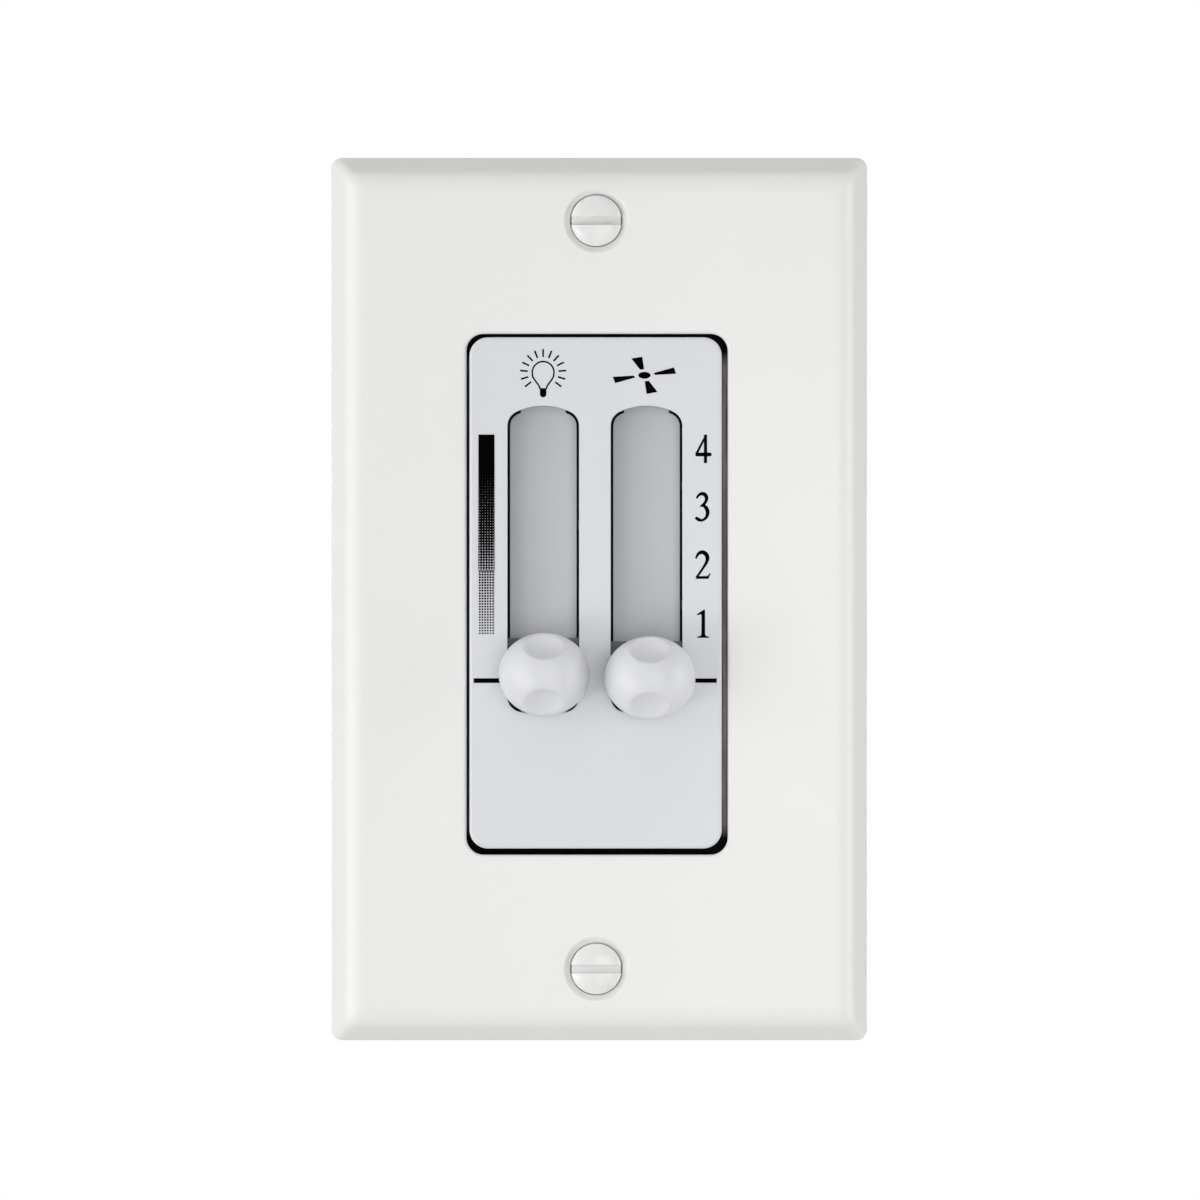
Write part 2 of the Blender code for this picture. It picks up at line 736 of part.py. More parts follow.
def mounting_strap():
    strap = prism("mounting_strap", strap_outline(), -STRAP_T, 0)
    window_mid = (WINDOW_LOW + WINDOW_HIGH) / 2
    window_size = (2 * WINDOW_HALF_W, WINDOW_HIGH - WINDOW_LOW, 1.5)
    cutters = [prism("window", rounded_rect(*window_size, 0, window_mid), -5, 5)]
    for side in (-1, 1):
        cutters.append(hole(SCREW_HOLE_R, 0, side * PLATE_SCREW_Z))
        cutters.append(oval_hole(BOX_OVAL_L, 2 * SCREW_HOLE_R, 0, side * BOX_SCREW_Z))
        for across in (-1, 1):
            cutters.append(hole(HOUSING_SCREW_HOLE_R, across * EAR_X, side * EAR_Z, sides=12))
            snap_place = (across * SNAP_X, side * SNAP_Z)
            cutters.append(oval_hole(SNAP_OVAL_L, SNAP_OVAL_W, *snap_place))
    cutters.append(hole(TRIAC_HOLE_R, TRIAC_HOLE_X, TRIAC_HOLE_Z))
    cutters.append(hole(SCREW_HOLE_R, GROUND_X, GROUND_Z))
    cut(strap, *cutters)
    finish(strap, "black_anodised")


def box_screw(name, z):
    """Round-head screw that holds the strap to the wall box."""
    front = -STRAP_T - CLEAR
    profile = [
        (BOX_SCREW_HEAD_R * 0.45, front - BOX_SCREW_HEAD_T),
        (BOX_SCREW_HEAD_R * 0.82, front - 1.5),
        (BOX_SCREW_HEAD_R, front - 0.7),
        (BOX_SCREW_HEAD_R, front),
        (SCREW_R, front),
        (SCREW_R, BOX_SCREW_END - 0.8),
        (SCREW_R - 0.6, BOX_SCREW_END),
    ]
    screw = turned(name, profile, z=z, sides=16)
    cut(screw, box("slot", (-4, 4), (front - 3, front - 0.7), (z - 0.5, z + 0.5)))
    finish(screw, "zinc_steel")


def screw_retainer(name, z):
    """Square fibre washer that keeps a box screw in the strap."""
    half = WASHER_HALF
    washer = box(name, (-half, half), (CLEAR, CLEAR + WASHER_T), (z - half, z + half))
    cut(washer, hole(SCREW_HOLE_R, 0, z))
    finish(washer, "fibre")


def ground_screw():
    """Green hex washer-head screw in the strap's lug."""
    front = -STRAP_T - CLEAR
    flange = GROUND_FLANGE_R
    profile = [(flange, front - 0.5), (flange, front), (SCREW_R, front), (SCREW_R, 4.0), (1.1, 4.6)]
    screw = turned("ground_screw", profile, GROUND_X, GROUND_Z, 20)
    hexagon = [(GROUND_HEX_R, front - 1.7), (GROUND_HEX_R, front - 0.4)]
    hex_head = turned("hex", hexagon, GROUND_X, GROUND_Z, 6)
    join(screw, hex_head)
    slot_z = (GROUND_Z - 0.45, GROUND_Z + 0.45)
    slot_x = (GROUND_X - 4, GROUND_X + 4)
    cut(screw, box("slot", slot_x, (front - 3, front - 0.9), slot_z))
    finish(screw, "green_steel")


def housing_outline(inset):
    size = (2 * (HOUSING_HALF_W - inset), 2 * (HOUSING_HALF_H - inset), HOUSING_R - inset)
    return rounded_rect(*size)


def rear_housing():
    """An open box behind the strap: four screw ears, a pillar in each corner, a blank panel."""
    wall = HOUSING_WALL
    loops = [
        at_y(housing_outline(wall), HOUSING_BACK - wall),
        at_y(housing_outline(wall), HOUSING_FRONT),
        at_y(housing_outline(0), HOUSING_FRONT),
        at_y(housing_outline(0), HOUSING_BACK - 0.8),
        at_y(housing_outline(0.8), HOUSING_BACK),
    ]
    housing = loft("rear_housing", loops)
    added = []
    cutters = []
    ear_y = (HOUSING_FRONT, HOUSING_FRONT + EAR_T)
    pillar_y = (BOARD_BACK + CLEAR, HOUSING_BACK - wall / 2)
    for a in (-1, 1):
        for b in (-1, 1):
            ear = rounded_rect(EAR_W, EAR_H, 2.0, a * EAR_X, b * (EAR_Z - wall))
            added.append(prism("ear", ear, *ear_y))
            pillar_x = sorted((a * (HOUSING_HALF_W - wall / 2), a * (BOARD_HALF_W - PILLAR_W)))
            pillar_z = sorted((b * (HOUSING_HALF_H - wall / 2), b * (BOARD_HALF_H - PILLAR_H)))
            added.append(box("pillar", pillar_x, pillar_y, pillar_z))
            screw_hole = hole(HOUSING_SCREW_HOLE_R, a * EAR_X, b * EAR_Z, -1, 6, sides=12)
            cutters.append(screw_hole)
    join(housing, *added)
    inside = box(
        "inside",
        (-HOUSING_HALF_W + wall, HOUSING_HALF_W - wall),
        (-1, BOARD_BACK + CLEAR),
        (-HOUSING_HALF_H + wall, HOUSING_HALF_H - wall),
    )
    panel = rounded_rect(PANEL_W, PANEL_H, 1.5, 0, PANEL_Z)
    cutters += [inside, prism("panel", panel, HOUSING_BACK - PANEL_DEPTH, HOUSING_BACK + 1)]
    bush_hole = LEAD_HOLE_R + BUSH_WALL + CLEAR
    cutters += [hole(bush_hole, x, LEAD_Z, HOUSING_BACK - 6, HOUSING_BACK + 4) for x in LEAD_X]
    cut(housing, *cutters)
    finish(housing, "black_plastic")


def housing_screw(name, x, z):
    """Pan-head screw from behind, through an ear into the strap."""
    seat = HOUSING_FRONT + EAR_T + CLEAR
    head = HOUSING_SCREW_HEAD_R
    profile = [
        (HOUSING_SCREW_R, HOUSING_SCREW_FRONT),
        (HOUSING_SCREW_R, seat),
        (head, seat),
        (head, seat + 0.8),
        (head * 0.75, seat + 1.5),
        (head * 0.3, seat + 1.7),
    ]
    screw = turned(name, profile, x, z, 14)
    cut(screw, box("slot", (x - 3, x + 3), (seat + 0.9, seat + 3), (z - 0.35, z + 0.35)))
    finish(screw, "zinc_steel")


def lead_bushing(name, x):
    """Flanged bushing in the housing's back, where one lead comes out."""
    back = HOUSING_BACK
    bore = LEAD_HOLE_R
    barrel = bore + BUSH_WALL
    flange = bore + BUSH_FLANGE
    inside = back - HOUSING_WALL - 1.5
    profile = [
        (bore, inside),
        (barrel, inside),
        (barrel, back + CLEAR),
        (flange, back + CLEAR),
        (flange, back + 1.0),
        (bore + 0.6, back + BUSH_OUT),
        (bore, back + BUSH_OUT),
    ]
    finish(turned_ring(name, profile, x, LEAD_Z, 16), "black_plastic")


# ---- circuit board and what is soldered to it ----


def circuit_board():
    outline = rounded_rect(2 * BOARD_HALF_W, 2 * BOARD_HALF_H, 1.0, steps=2)
    finish(prism("circuit_board", outline, BOARD_FRONT, BOARD_BACK), "board_green")


def capacitor(name, kind, x, z, size):
    """A box capacitor standing on the board; size is its width, depth and height."""
    front = BOARD_BACK + CLEAR
    wide, deep, tall = size
    part = box(name, (x - wide / 2, x + wide / 2), (front, front + deep), (z - tall / 2, z + tall / 2))
    finish(soften(part, 0.6), kind)


def choke_core():
    """Ring core with chamfered edges."""
    t = CHOKE_HALF_T
    d = CHOKE_HALF_D
    c = CHOKE_CHAMFER
    section = [(t, d - c), (t - c, d), (c - t, d), (-t, d - c)]
    section += [(-a, -b) for a, b in section]
    profile = [(CHOKE_MID_R + a, CHOKE_MID_Y + b) for a, b in section]
    finish(turned_ring("choke_core", profile, CHOKE_X, CHOKE_Z, 24), "ferrite")


def choke_winding():
    """One wire wound round and round the core, eight points to a turn."""
    gap = CLEAR + CHOKE_WIRE_R
    t = CHOKE_HALF_T + gap
    d = CHOKE_HALF_D + gap
    corner = 1.1
    round_turn = [(t, d - corner), (t - corner, d), (corner - t, d), (-t, d - corner)]
    round_turn += [(-a, -b) for a, b in round_turn]
    path = []
    spread = math.radians(CHOKE_SPREAD)
    total = CHOKE_TURNS * len(round_turn)
    for k in range(total):
        a, b = round_turn[k % len(round_turn)]
        angle = spread * k / total
        r = CHOKE_MID_R + a
        x = CHOKE_X + r * math.cos(angle)
        z = CHOKE_Z + r * math.sin(angle)
        path.append((x, CHOKE_MID_Y + b, z))
    finish(rod("choke_winding", path, CHOKE_WIRE_R, 5), "copper")


def axial_part(name, kind, x, z, body_r, body_half_l, span):
    """A resistor or diode lying across the board on its two bent leads."""
    lie_y = BOARD_BACK + CLEAR + body_r
    foot_y = BOARD_BACK + CLEAR
    bend = 0.6
    lead = [
        (x - span, foot_y, z),
        (x - span, lie_y - bend, z),
        (x - span + bend, lie_y, z),
        (x + span - bend, lie_y, z),
        (x + span, lie_y - bend, z),
        (x + span, foot_y, z),
    ]
    part = rod(name, lead, LEAD_WIRE_R, 6)
    waist = body_half_l * 0.45
    ends = body_half_l * 0.75
    body = [
        (-body_half_l, body_r * 0.6),
        (-ends, body_r),
        (-waist, body_r * 0.88),
        (waist, body_r * 0.88),
        (ends, body_r),
        (body_half_l, body_r * 0.6),
    ]
    angles = [2 * math.pi * k / 14 for k in range(14)]
    loops = [
        [(x + dx, lie_y + r * math.cos(a), z + r * math.sin(a)) for a in angles] for dx, r in body
    ]
    join(part, loft("body", loops))
    finish(part, kind)


def triac():
    """Flat power device: a tab against the strap, a thick body and three bent legs."""
    hole_x = TRIAC_HOLE_X
    z = TRIAC_HOLE_Z
    front = 2 * CLEAR + TRIAC_PAD_T
    body_x = (hole_x + TRIAC_BODY_X[0], hole_x + TRIAC_BODY_X[1])
    tall = (z - TRIAC_HALF_H, z + TRIAC_HALF_H)
    part = box("triac", (hole_x - 3.0, body_x[0] + 1), (front, front + TRIAC_TAB_T), tall)
    body = box("body", body_x, (front, front + TRIAC_BODY_T), tall)
    legs = []
    for k in (-1, 0, 1):
        leg_z = z + TRIAC_LEG_PITCH * k
        leg_y = front + TRIAC_BODY_T / 2
        out = body_x[1] + 1.6
        leg = [(body_x[1] - 1, leg_y, leg_z), (out - 0.5, leg_y, leg_z)]
        leg += [(out, leg_y + 0.5, leg_z), (out, BOARD_FRONT - CLEAR, leg_z)]
        legs.append(rod("leg", leg, TRIAC_LEG_R, 6))
    join(part, body, *legs)
    cut(part, hole(TRIAC_HOLE_R, hole_x, z, -5, 8))
    finish(part, "black_plastic")


def triac_pad():
    """The soft sheet between the triac and the strap, a little larger than the triac."""
    hole_x = TRIAC_HOLE_X
    z = TRIAC_HOLE_Z
    wide = (hole_x - 3.6, hole_x + TRIAC_BODY_X[1] + 0.4)
    tall = (z - TRIAC_HALF_H - 0.3, z + TRIAC_HALF_H + 0.3)
    pad = box("triac_pad", wide, (CLEAR, CLEAR + TRIAC_PAD_T), tall)
    cut(pad, hole(TRIAC_HOLE_R, hole_x, z))
    finish(pad, "silicone_pad")


def triac_rivet():
    """Tubular rivet through the strap, the pad and the triac's tab."""
    front = -STRAP_T - CLEAR
    back = 3 * CLEAR + TRIAC_PAD_T + TRIAC_TAB_T
    profile = [
        (1.0, front - 0.9),
        (RIVET_HEAD_R, front - 0.4),
        (RIVET_HEAD_R, front),
        (RIVET_R, front),
        (RIVET_R, back),
        (RIVET_TAIL_R, back),
        (RIVET_TAIL_R, back + 0.4),
        (1.0, back + 0.8),
    ]
    rivet = turned("triac_rivet", profile, TRIAC_HOLE_X, TRIAC_HOLE_Z, 16)
    finish(rivet, "zinc_steel")


# ---- slide elements: the fixed cases, boards and the detent strip ----


def slide_case(name, kind, x):
    """A long case, open at the back, with a narrow slot in front for the moving blade."""
    z = (CASE_Z - CASE_HALF_L, CASE_Z + CASE_HALF_L)
    wall = CASE_WALL
    case = box(name, (x - CASE_HALF_W, x + CASE_HALF_W), (CASE_FRONT, CASE_BACK), z)
    half_w = CASE_HALF_W - wall
    inside_z = (z[0] + wall, z[1] - wall)
    inside = box("inside", (x - half_w, x + half_w), (CASE_FRONT + wall, CASE_BACK + 1), inside_z)
    half_l = TRAVEL / 2 + BLADE_HALF_L + 0.6
    slot_z = (CASE_Z - half_l, CASE_Z + half_l)
    blade_slot = box("slot", (x - 0.95, x + 0.95), (CASE_FRONT - 1, CASE_FRONT + 2), slot_z)
    cut(case, inside, blade_slot)
    finish(case, kind)


def track_board(name, x, pins):
    """The board that closes a case, with its contact pins standing out behind."""
    half_l = CASE_HALF_L - CASE_WALL - CLEAR
    half_w = CASE_HALF_W - CASE_WALL - CLEAR
    z = (CASE_Z - half_l, CASE_Z + half_l)
    part = box(name, (x - half_w, x + half_w), (TRACK_FRONT, TRACK_BACK), z)
    posts = []
    for k in range(pins):
        pin_z = CASE_Z + (2 * k / (pins - 1) - 1) * (half_l - 1.5)
        pin_y = (TRACK_BACK - 0.5, PIN_END)
        posts.append(box("pin", (x - 0.4, x + 0.4), pin_y, (pin_z - 0.4, pin_z + 0.4)))
    join(part, *posts)
    finish(part, "phenolic")


def detent_strip():
    """Steel strip along the fan case's right wall, with a notch for each setting."""
    margin = 4.0
    step = TRAVEL / FAN_SPEEDS
    low = FAN_REST_Z - margin
    high = FAN_REST_Z + TRAVEL + margin
    outline = [(STRIP_OUT, low), (CREST_X, low)]
    for k in range(FAN_SPEEDS + 1):
        mid = FAN_REST_Z + k * step
        for part in (-1.0, -0.5, 0.0, 0.5, 1.0):
            depth = NOTCH_DEPTH * math.cos(part * math.pi / 2)
            outline.append((CREST_X + depth, mid + part * NOTCH_HALF_L))
    outline += [(CREST_X, high), (STRIP_OUT, high)]
    placed = [(FAN_X + x, z) for x, z in outline]
    finish(prism("fan_detent_strip", placed, DETENT_Y - 1.1, DETENT_Y + 1.1), "zinc_steel")


# ---- slides: each is built round its own axis empty, which stands on the slot's centre line ----


def knob(name, offset, axis):
    """A flattened ball with its back cut flat, two finger scoops and a square socket."""
    rings = 14
    sides = 32
    radii = (KNOB_W / 2, KNOB_BALL_D / 2, KNOB_H / 2)
    loops = []
    for k in range(rings):
        polar = math.pi * (k + 0.4) / (rings - 0.2)
        y = KNOB_MID_Y - radii[1] * math.cos(polar)
        size = math.sin(polar)
        angles = [2 * math.pi * j / sides for j in range(sides)]
        ring = []
        for a in angles:
            x = offset + radii[0] * size * math.cos(a)
            z = radii[2] * size * math.sin(a)
            ring.append((x, y, z))
        loops.append(ring)
    ball = loft(name, loops)
    back = box("back", (-20, 20), (KNOB_BACK_Y, KNOB_BACK_Y + 20), (-20, 20))
    socket_x = (offset - POST_W / 2 - SNUG, offset + POST_W / 2 + SNUG)
    socket_z = (-POST_H / 2 - SNUG, POST_H / 2 + SNUG)
    socket = box("socket", socket_x, (POST_FRONT - CLEAR, 0), socket_z)
    cut(ball, back, scoop(offset, 1), scoop(offset, -1), socket)
    finish(ball, "knob_white", axis)


def scoop(offset, side):
    """The ellipsoid that hollows a knob out for a fingertip, above or below."""
    rings = 16
    sides = 30
    loops = []
    for k in range(rings):
        polar = math.pi * (k + 0.3) / (rings - 0.4)
        loop = []
        for j in range(sides):
            a = 2 * math.pi * j / sides
            x = offset - SCOOP_HALF_W * math.cos(polar)
            y = SCOOP_Y + SCOOP_R * math.sin(polar) * math.cos(a)
            z = side * (SCOOP_Z + SCOOP_R * math.sin(polar) * math.sin(a))
            loop.append((x, y, z))
        loops.append(loop)
    return loft("scoop", loops)


def carrier(name, offset, axis):
    """A saddle over the guide floor: a plate, the knob's post, and a leg in each channel."""
    half = CARRIER_HALF_W
    plate = box(name, (-half, half), (CARRIER_FRONT, CARRIER_BACK), (-CARRIER_DOWN, CARRIER_UP))
    post_x = (offset - POST_W / 2, offset + POST_W / 2)
    post_z = (-POST_H / 2, POST_H / 2)
    extra = [box("post", post_x, (POST_FRONT, CARRIER_BACK - 0.2), post_z)]
    for side in (-1, 1):
        leg_x = sorted((side * LEG_IN, side * LEG_OUT))
        leg_z = (-LEG_HALF_L, LEG_HALF_L)
        extra.append(box("leg", leg_x, (CARRIER_FRONT + 0.2, LEG_END), leg_z))
        tenon_z = (-LEG_HALF_L + TENON_STEP, LEG_HALF_L - TENON_STEP)
        extra.append(box("tenon", leg_x, (LEG_END - 0.5, LINK_BACK + 0.1), tenon_z))
    join(plate, *extra)
    finish(plate, "carrier_grey", axis)


def link(name, axis):
    """The cross plate behind the guide frame, between the carrier's legs and the blade."""
    half_w = LEG_OUT + 0.6
    half_l = LEG_HALF_L + 1.0
    plate = box(name, (-half_w, half_w), (LINK_FRONT, LINK_BACK), (-half_l, half_l))
    gap = SNUG
    cutters = []
    for side in (-1, 1):
        x = sorted((side * (LEG_IN - gap), side * (LEG_OUT + gap)))
        tenon = LEG_HALF_L - TENON_STEP + gap
        z = (-tenon, tenon)
        cutters.append(box("mortice", x, (-3, 3), z))
    blade_x = (-BLADE_HALF_T - gap, BLADE_HALF_T + gap)
    blade_z = (-BLADE_HALF_L - gap, BLADE_HALF_L + gap)
    cutters.append(box("blade", blade_x, (-3, 3), blade_z))
    cut(plate, *cutters)
    finish(plate, "black_plastic", axis)


def blade_and_carriage(name, half_w):
    """The carriage that runs in a case, with the blade that reaches forward to the link."""
    z = (-CARRIAGE_HALF_L, CARRIAGE_HALF_L)
    part = box(name, (-half_w, half_w), (CARRIAGE_FRONT, CARRIAGE_BACK), z)
    blade_y = (BLADE_FRONT, CARRIAGE_FRONT + 0.5)
    blade_x = (-BLADE_HALF_T, BLADE_HALF_T)
    return join(part, box("blade", blade_x, blade_y, (-BLADE_HALF_L, BLADE_HALF_L)))


def contact_spring(name, half_w, axis):
    """A thin bronze leaf under the carriage, bowed back to its contact board."""
    front = CARRIAGE_BACK + CLEAR
    section = [(-2.8, front), (-1.0, front), (1.0, front), (2.2, front + 0.35), (2.8, front + 0.2)]
    section += [(z, y + LEAF_T) for z, y in reversed(section)]
    loops = [[(x, y, z) for z, y in section] for x in (-half_w, half_w)]
    leaf = loft(name, loops)
    cut(leaf, box("split", (-0.3, 0.3), (front - 2, front + 2), (-0.5, 5)))
    finish(leaf, "brass", axis)


def slide(label, x, rest_z, knob_offset, pot_name, contact_name, carriage_half_w):
    """Everything that one knob moves, except the fan's detent."""
    axis = joint_axis(f"{label}_slide_axis", (x, 0, rest_z))
    knob(f"{label}_knob", knob_offset, axis)
    carrier(f"{label}_carrier", knob_offset, axis)
    link(f"{label}_link", axis)
    carriage = blade_and_carriage(pot_name, carriage_half_w)
    contact_spring(contact_name, LEAF_HALF_W, axis)
    return axis, carriage


def light_slide():
    axis, carriage = slide(
        "light",
        LIGHT_X,
        LIGHT_REST_Z,
        LIGHT_KNOB_DX,
        "light_pot_lever",
        "light_wiper",
        LIGHT_CARRIAGE_HALF_W,
    )
    finish(carriage, "black_plastic", axis)


def fan_slide():
    axis, carriage = slide(
        "fan",
        FAN_X,
        FAN_REST_Z,
        FAN_KNOB_DX,
        "fan_switch_lever",
        "fan_bridge_contact",
        FAN_CARRIAGE_HALF_W,
    )
    turns = 16
    angles = [2 * math.pi * k / turns for k in range(turns)]
    ring = [(DETENT_Y + BORE_R * math.cos(a), BORE_R * math.sin(a)) for a in angles]
    bore = loft("bore", [[(x, y, z) for y, z in ring] for x in (BORE_END, 4.0)])
    cut(carriage, bore)
    finish(carriage, "black_plastic", axis)
    detent_spring(axis)
    detent_ball(axis)


def detent_spring(axis):
    """Compression coil behind the ball."""
    start = BORE_END + CLEAR + SPRING_WIRE_R
    end = BALL_X - BALL_R - 0.15 - SPRING_WIRE_R
    per_turn = 8
    total = SPRING_TURNS * per_turn
    path = []
    for k in range(total + 1):
        a = 2 * math.pi * k / per_turn
        x = start + (end - start) * k / total
        path.append((x, DETENT_Y + SPRING_R * math.cos(a), SPRING_R * math.sin(a)))
    finish(rod("fan_detent_spring", path, SPRING_WIRE_R, 5), "zinc_steel", axis)


def detent_ball(axis):
    """Steel ball on the detent's own axis, held at the height of the strip's crests."""
    ball_axis = joint_axis("fan_detent_axis", (BALL_X, DETENT_Y, 0), axis)
    shape = bmesh.new()
    bmesh.ops.create_uvsphere(shape, u_segments=16, v_segments=10, radius=BALL_R * MM)
    mesh = bpy.data.meshes.new("fan_detent_ball")
    shape.to_mesh(mesh)
    shape.free()
    ball = bpy.data.objects.new("fan_detent_ball", mesh)
    bpy.context.scene.collection.objects.link(ball)
    finish(ball, "zinc_steel", ball_axis)


# ---- the whole control ----


def main():
    clear_scene()
    wall_plate()
    face_insert()
    guide_frame()
    mounting_strap()
    rear_housing()
    for name, side in (("top", 1), ("bottom", -1)):
        plate_screw(f"plate_screw_{name}", side * PLATE_SCREW_Z)
        box_screw(f"box_screw_{name}", side * BOX_SCREW_Z)
        screw_retainer(f"screw_retainer_{name}", side * BOX_SCREW_Z)
        for hand, across in (("left", -1), ("right", 1)):
            housing_screw(f"housing_screw_{name}_{hand}", across * EAR_X, side * EAR_Z)
    ground_screw()
    for number, x in enumerate(LEAD_X, 1):
        lead_bushing(f"lead_bushing_{number}", x)
    circuit_board()
    capacitor("fan_capacitor_large", "capacitor_grey", 0, LARGE_CAP_Z, LARGE_CAP)
    capacitor("fan_capacitor_small", "capacitor_grey", 0, SMALL_CAP_Z, SMALL_CAP)
    capacitor("dimmer_capacitor", "capacitor_yellow", SMALL_PARTS_X, DIMMER_CAP_Z, DIMMER_CAP)
    choke_core()
    choke_winding()
    axial_part("diac", "diode_blue", SMALL_PARTS_X, DIAC_Z, *DIAC)
    axial_part("bleed_resistor", "resistor_tan", SMALL_PARTS_X, BLEED_Z, *RESISTOR)
    axial_part("timing_resistor", "resistor_tan", SMALL_PARTS_X, TIMING_Z, *RESISTOR)
    triac()
    triac_pad()
    triac_rivet()
    slide_case("light_pot_case", "black_plastic", LIGHT_X)
    track_board("light_track_board", LIGHT_X, 3)
    slide_case("fan_switch_case", "black_plastic", FAN_X)
    track_board("fan_contact_board", FAN_X, FAN_SPEEDS + 1)
    detent_strip()
    light_slide()
    fan_slide()


main()
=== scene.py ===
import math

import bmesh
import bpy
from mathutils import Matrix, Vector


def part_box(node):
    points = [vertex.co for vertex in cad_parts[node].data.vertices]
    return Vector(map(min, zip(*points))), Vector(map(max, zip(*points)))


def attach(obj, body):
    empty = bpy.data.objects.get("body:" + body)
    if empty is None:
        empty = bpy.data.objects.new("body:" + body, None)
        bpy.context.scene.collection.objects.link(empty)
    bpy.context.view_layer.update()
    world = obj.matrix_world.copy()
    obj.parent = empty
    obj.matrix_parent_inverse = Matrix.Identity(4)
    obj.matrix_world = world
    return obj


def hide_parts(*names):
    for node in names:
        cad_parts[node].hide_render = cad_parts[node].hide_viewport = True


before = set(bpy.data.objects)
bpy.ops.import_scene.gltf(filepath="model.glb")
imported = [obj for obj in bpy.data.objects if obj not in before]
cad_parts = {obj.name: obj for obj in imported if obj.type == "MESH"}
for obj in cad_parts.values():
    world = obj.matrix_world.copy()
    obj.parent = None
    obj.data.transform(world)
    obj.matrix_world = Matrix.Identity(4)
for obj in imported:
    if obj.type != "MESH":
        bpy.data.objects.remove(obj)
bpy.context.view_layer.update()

# The finished look of a two-slide light and fan control.
# Shapes are worked out in millimetres and turned into metres where a mesh is made.
# The control faces -Y; +X is right and +Z is up; the wall's surface is y = 0.

MM = 0.001
FIXED = "wall_control"  # the body that doesn't move
EDGE_STEPS = 8  # facets round a quarter circle on the larger soft edges

# Wall plate
PLATE_WALL = 2.0
PLATE_CORNER_R = 1.45
PLATE_RIM_ROUND = ((0.25, 0.0), (0.05, 0.1), (0.0, 0.3))  # inset, and distance from the wall
PLATE_RIM_TOP = ((0.0, 0.95), (0.03, 1.15))
PLATE_RIM_WALL = 1.9
PLATE_INNER_R = 1.0
PLATE_FOOT_IN = 0.15
PLATE_FOOT_OUT = 1.3
PLATE_BEVEL_IN = 1.6
PLATE_BEVEL_OUT = 3.9
PLATE_BEVEL_R = 1.3
PLATE_SOFT_IN = 4.8
PLATE_SOFT_R = 1.0
PLATE_SHOULDER_STEPS = 18
PLATE_HOLLOW_IN = 4.2
PLATE_HOLLOW_FOOT = 0.9
PLATE_BOSS_R = 2.95
PLATE_RIB_T = 0.8
PLATE_RIB_X = 26.0
PLATE_RIB_Z = 37.05
PLATE_RIB_END_Z = 46.0
PLATE_RIB_BACK = -1.6
OPENING_W = 33.8
OPENING_H = 67.4
OPENING_X = 0.11
OPENING_Z = 0.07
OPENING_R = 2.2
OPENING_EDGE_R = 0.45
DISH_R = 4.05
DISH_DEPTH = 0.56
DISH_STEP = 0.75
DISH_EDGE = 0.2
DISH_ABOVE = ((0.35, 0.4), (0.25, 0.02))  # wider than the dish, and out in front of the face
DISH_CURVE = 1.5
DISH_STEPS = 8
DISH_SIDES = 96
HEAD_GAP = 0.13
BORE_GAP = 0.45
BORE_LAND = 0.1
RIB_ROOT = 0.2  # how far the ribs and bosses run into the plate

# Face insert and its slots
INSERT_R = 2.4
INSERT_WALL = 1.5
INSERT_BACK = -1.5
INSERT_EDGE_R = 0.45
SLOT_W = 9.27
SLOT_H = 39.9
SLOT_Z = 4.53
SLOT_CORNER_R = 2.0
SLOT_TOP_R = 8.0
SLOT_BOTTOM_R = 16.0
SLOT_EDGE_R = 0.12
SLOT_EDGE_STEPS = 5
SLOT_CORNER_STEPS = 10
SLOT_CROWN_STEPS = 16
LIGHT_X = -6.85
FAN_X = 6.51
SNAP_X = 12.5
SNAP_Z = 30.2
SNAP_HALF_W = 2.0
SNAP_HALF_T = 0.6
SNAP_ROOT = 1.7
SNAP_HOOK = 1.1
SNAP_HOOK_Y = 0.3
SNAP_HOOK_END_Y = 0.5
SNAP_TIP_Y = 1.6

# Knobs
KNOB_BALL_D = 11.58
KNOB_MID_Y = -9.41
SCOOP_R = 4.6
SCOOP_HALF_W = 4.58
SCOOP_Y = -15.288
SCOOP_Z = 6.525
SCOOP_SOFT = 0.045
KNOB_BACK_SOFT = 0.06
KNOB_RINGS = 90
KNOB_SIDES = 144
POLE_GAP = 0.4  # of a ring's step, between a pole and its nearest ring
BEYOND = 9.0  # a reach past any surface, where a line misses the scoop
POST_W = 3.2
POST_H = 1.8
POST_FRONT = -11.0
POST_GAP = 0.2
POST_END_GAP = 0.3

# Looks
MID_NOISE = (0.3, 0.7)  # the part of a noise's range that most of it falls in
BEVEL_ANGLE = 35  # sharper edges of the frame's nodes are softened
WELD_REACH = 0.005

# Painted light on the strap: lighter strips, seen in the gaps beside the insert, stand in for
# light falling into the gaps
GAP_LIGHT_NEAR = 16.15
GAP_LIGHT_FAR = 16.5
GAP_LIGHT_REACH = 31.0
# the left strip is dimmer as painted shade, since the left gap lies in shadow
GAP_LIGHT_LEFT = 0.45  # the left strip's share of the right one's colour

# Screws
SCREW_R = 1.65
SCREW_PITCH = 0.794
SCREW_NECK_R = 1.55
THREAD_DEPTH = 0.36
THREAD_ROWS = 8  # rings for each turn
THREAD_SHARP = 0.75
DOME_START = 0.2  # of a step, between a dome's top and its first ring
TIP_SHARE = 0.55  # of the thread's core, at the flat tip
PLATE_HEAD_SUNK = 0.22
PLATE_HEAD_EDGE = 0.15
PLATE_HEAD_CONE = 1.75
PLATE_THREAD_START = 2.0
PLATE_SLOT_DEPTH = 0.25
PLATE_SLOT_HALF = 0.55
BOX_HEAD_H = 1.8
BOX_HEAD_EDGE = 0.6
BOX_SLOT_HALF = 0.5
GROUND_HEAD_H = 1.7
GROUND_SLOT_HALF = 0.45
GROUND_FLANGE = ((0.25, 0.5), (0.0, 0.3), (0.0, 0.0))  # in from the edge, and up from the seat
GROUND_HEX_R = 3.0
GROUND_HEX_FOOT = 0.35
GROUND_HEX_CHAMFER = (0.3, 0.25)  # across and along
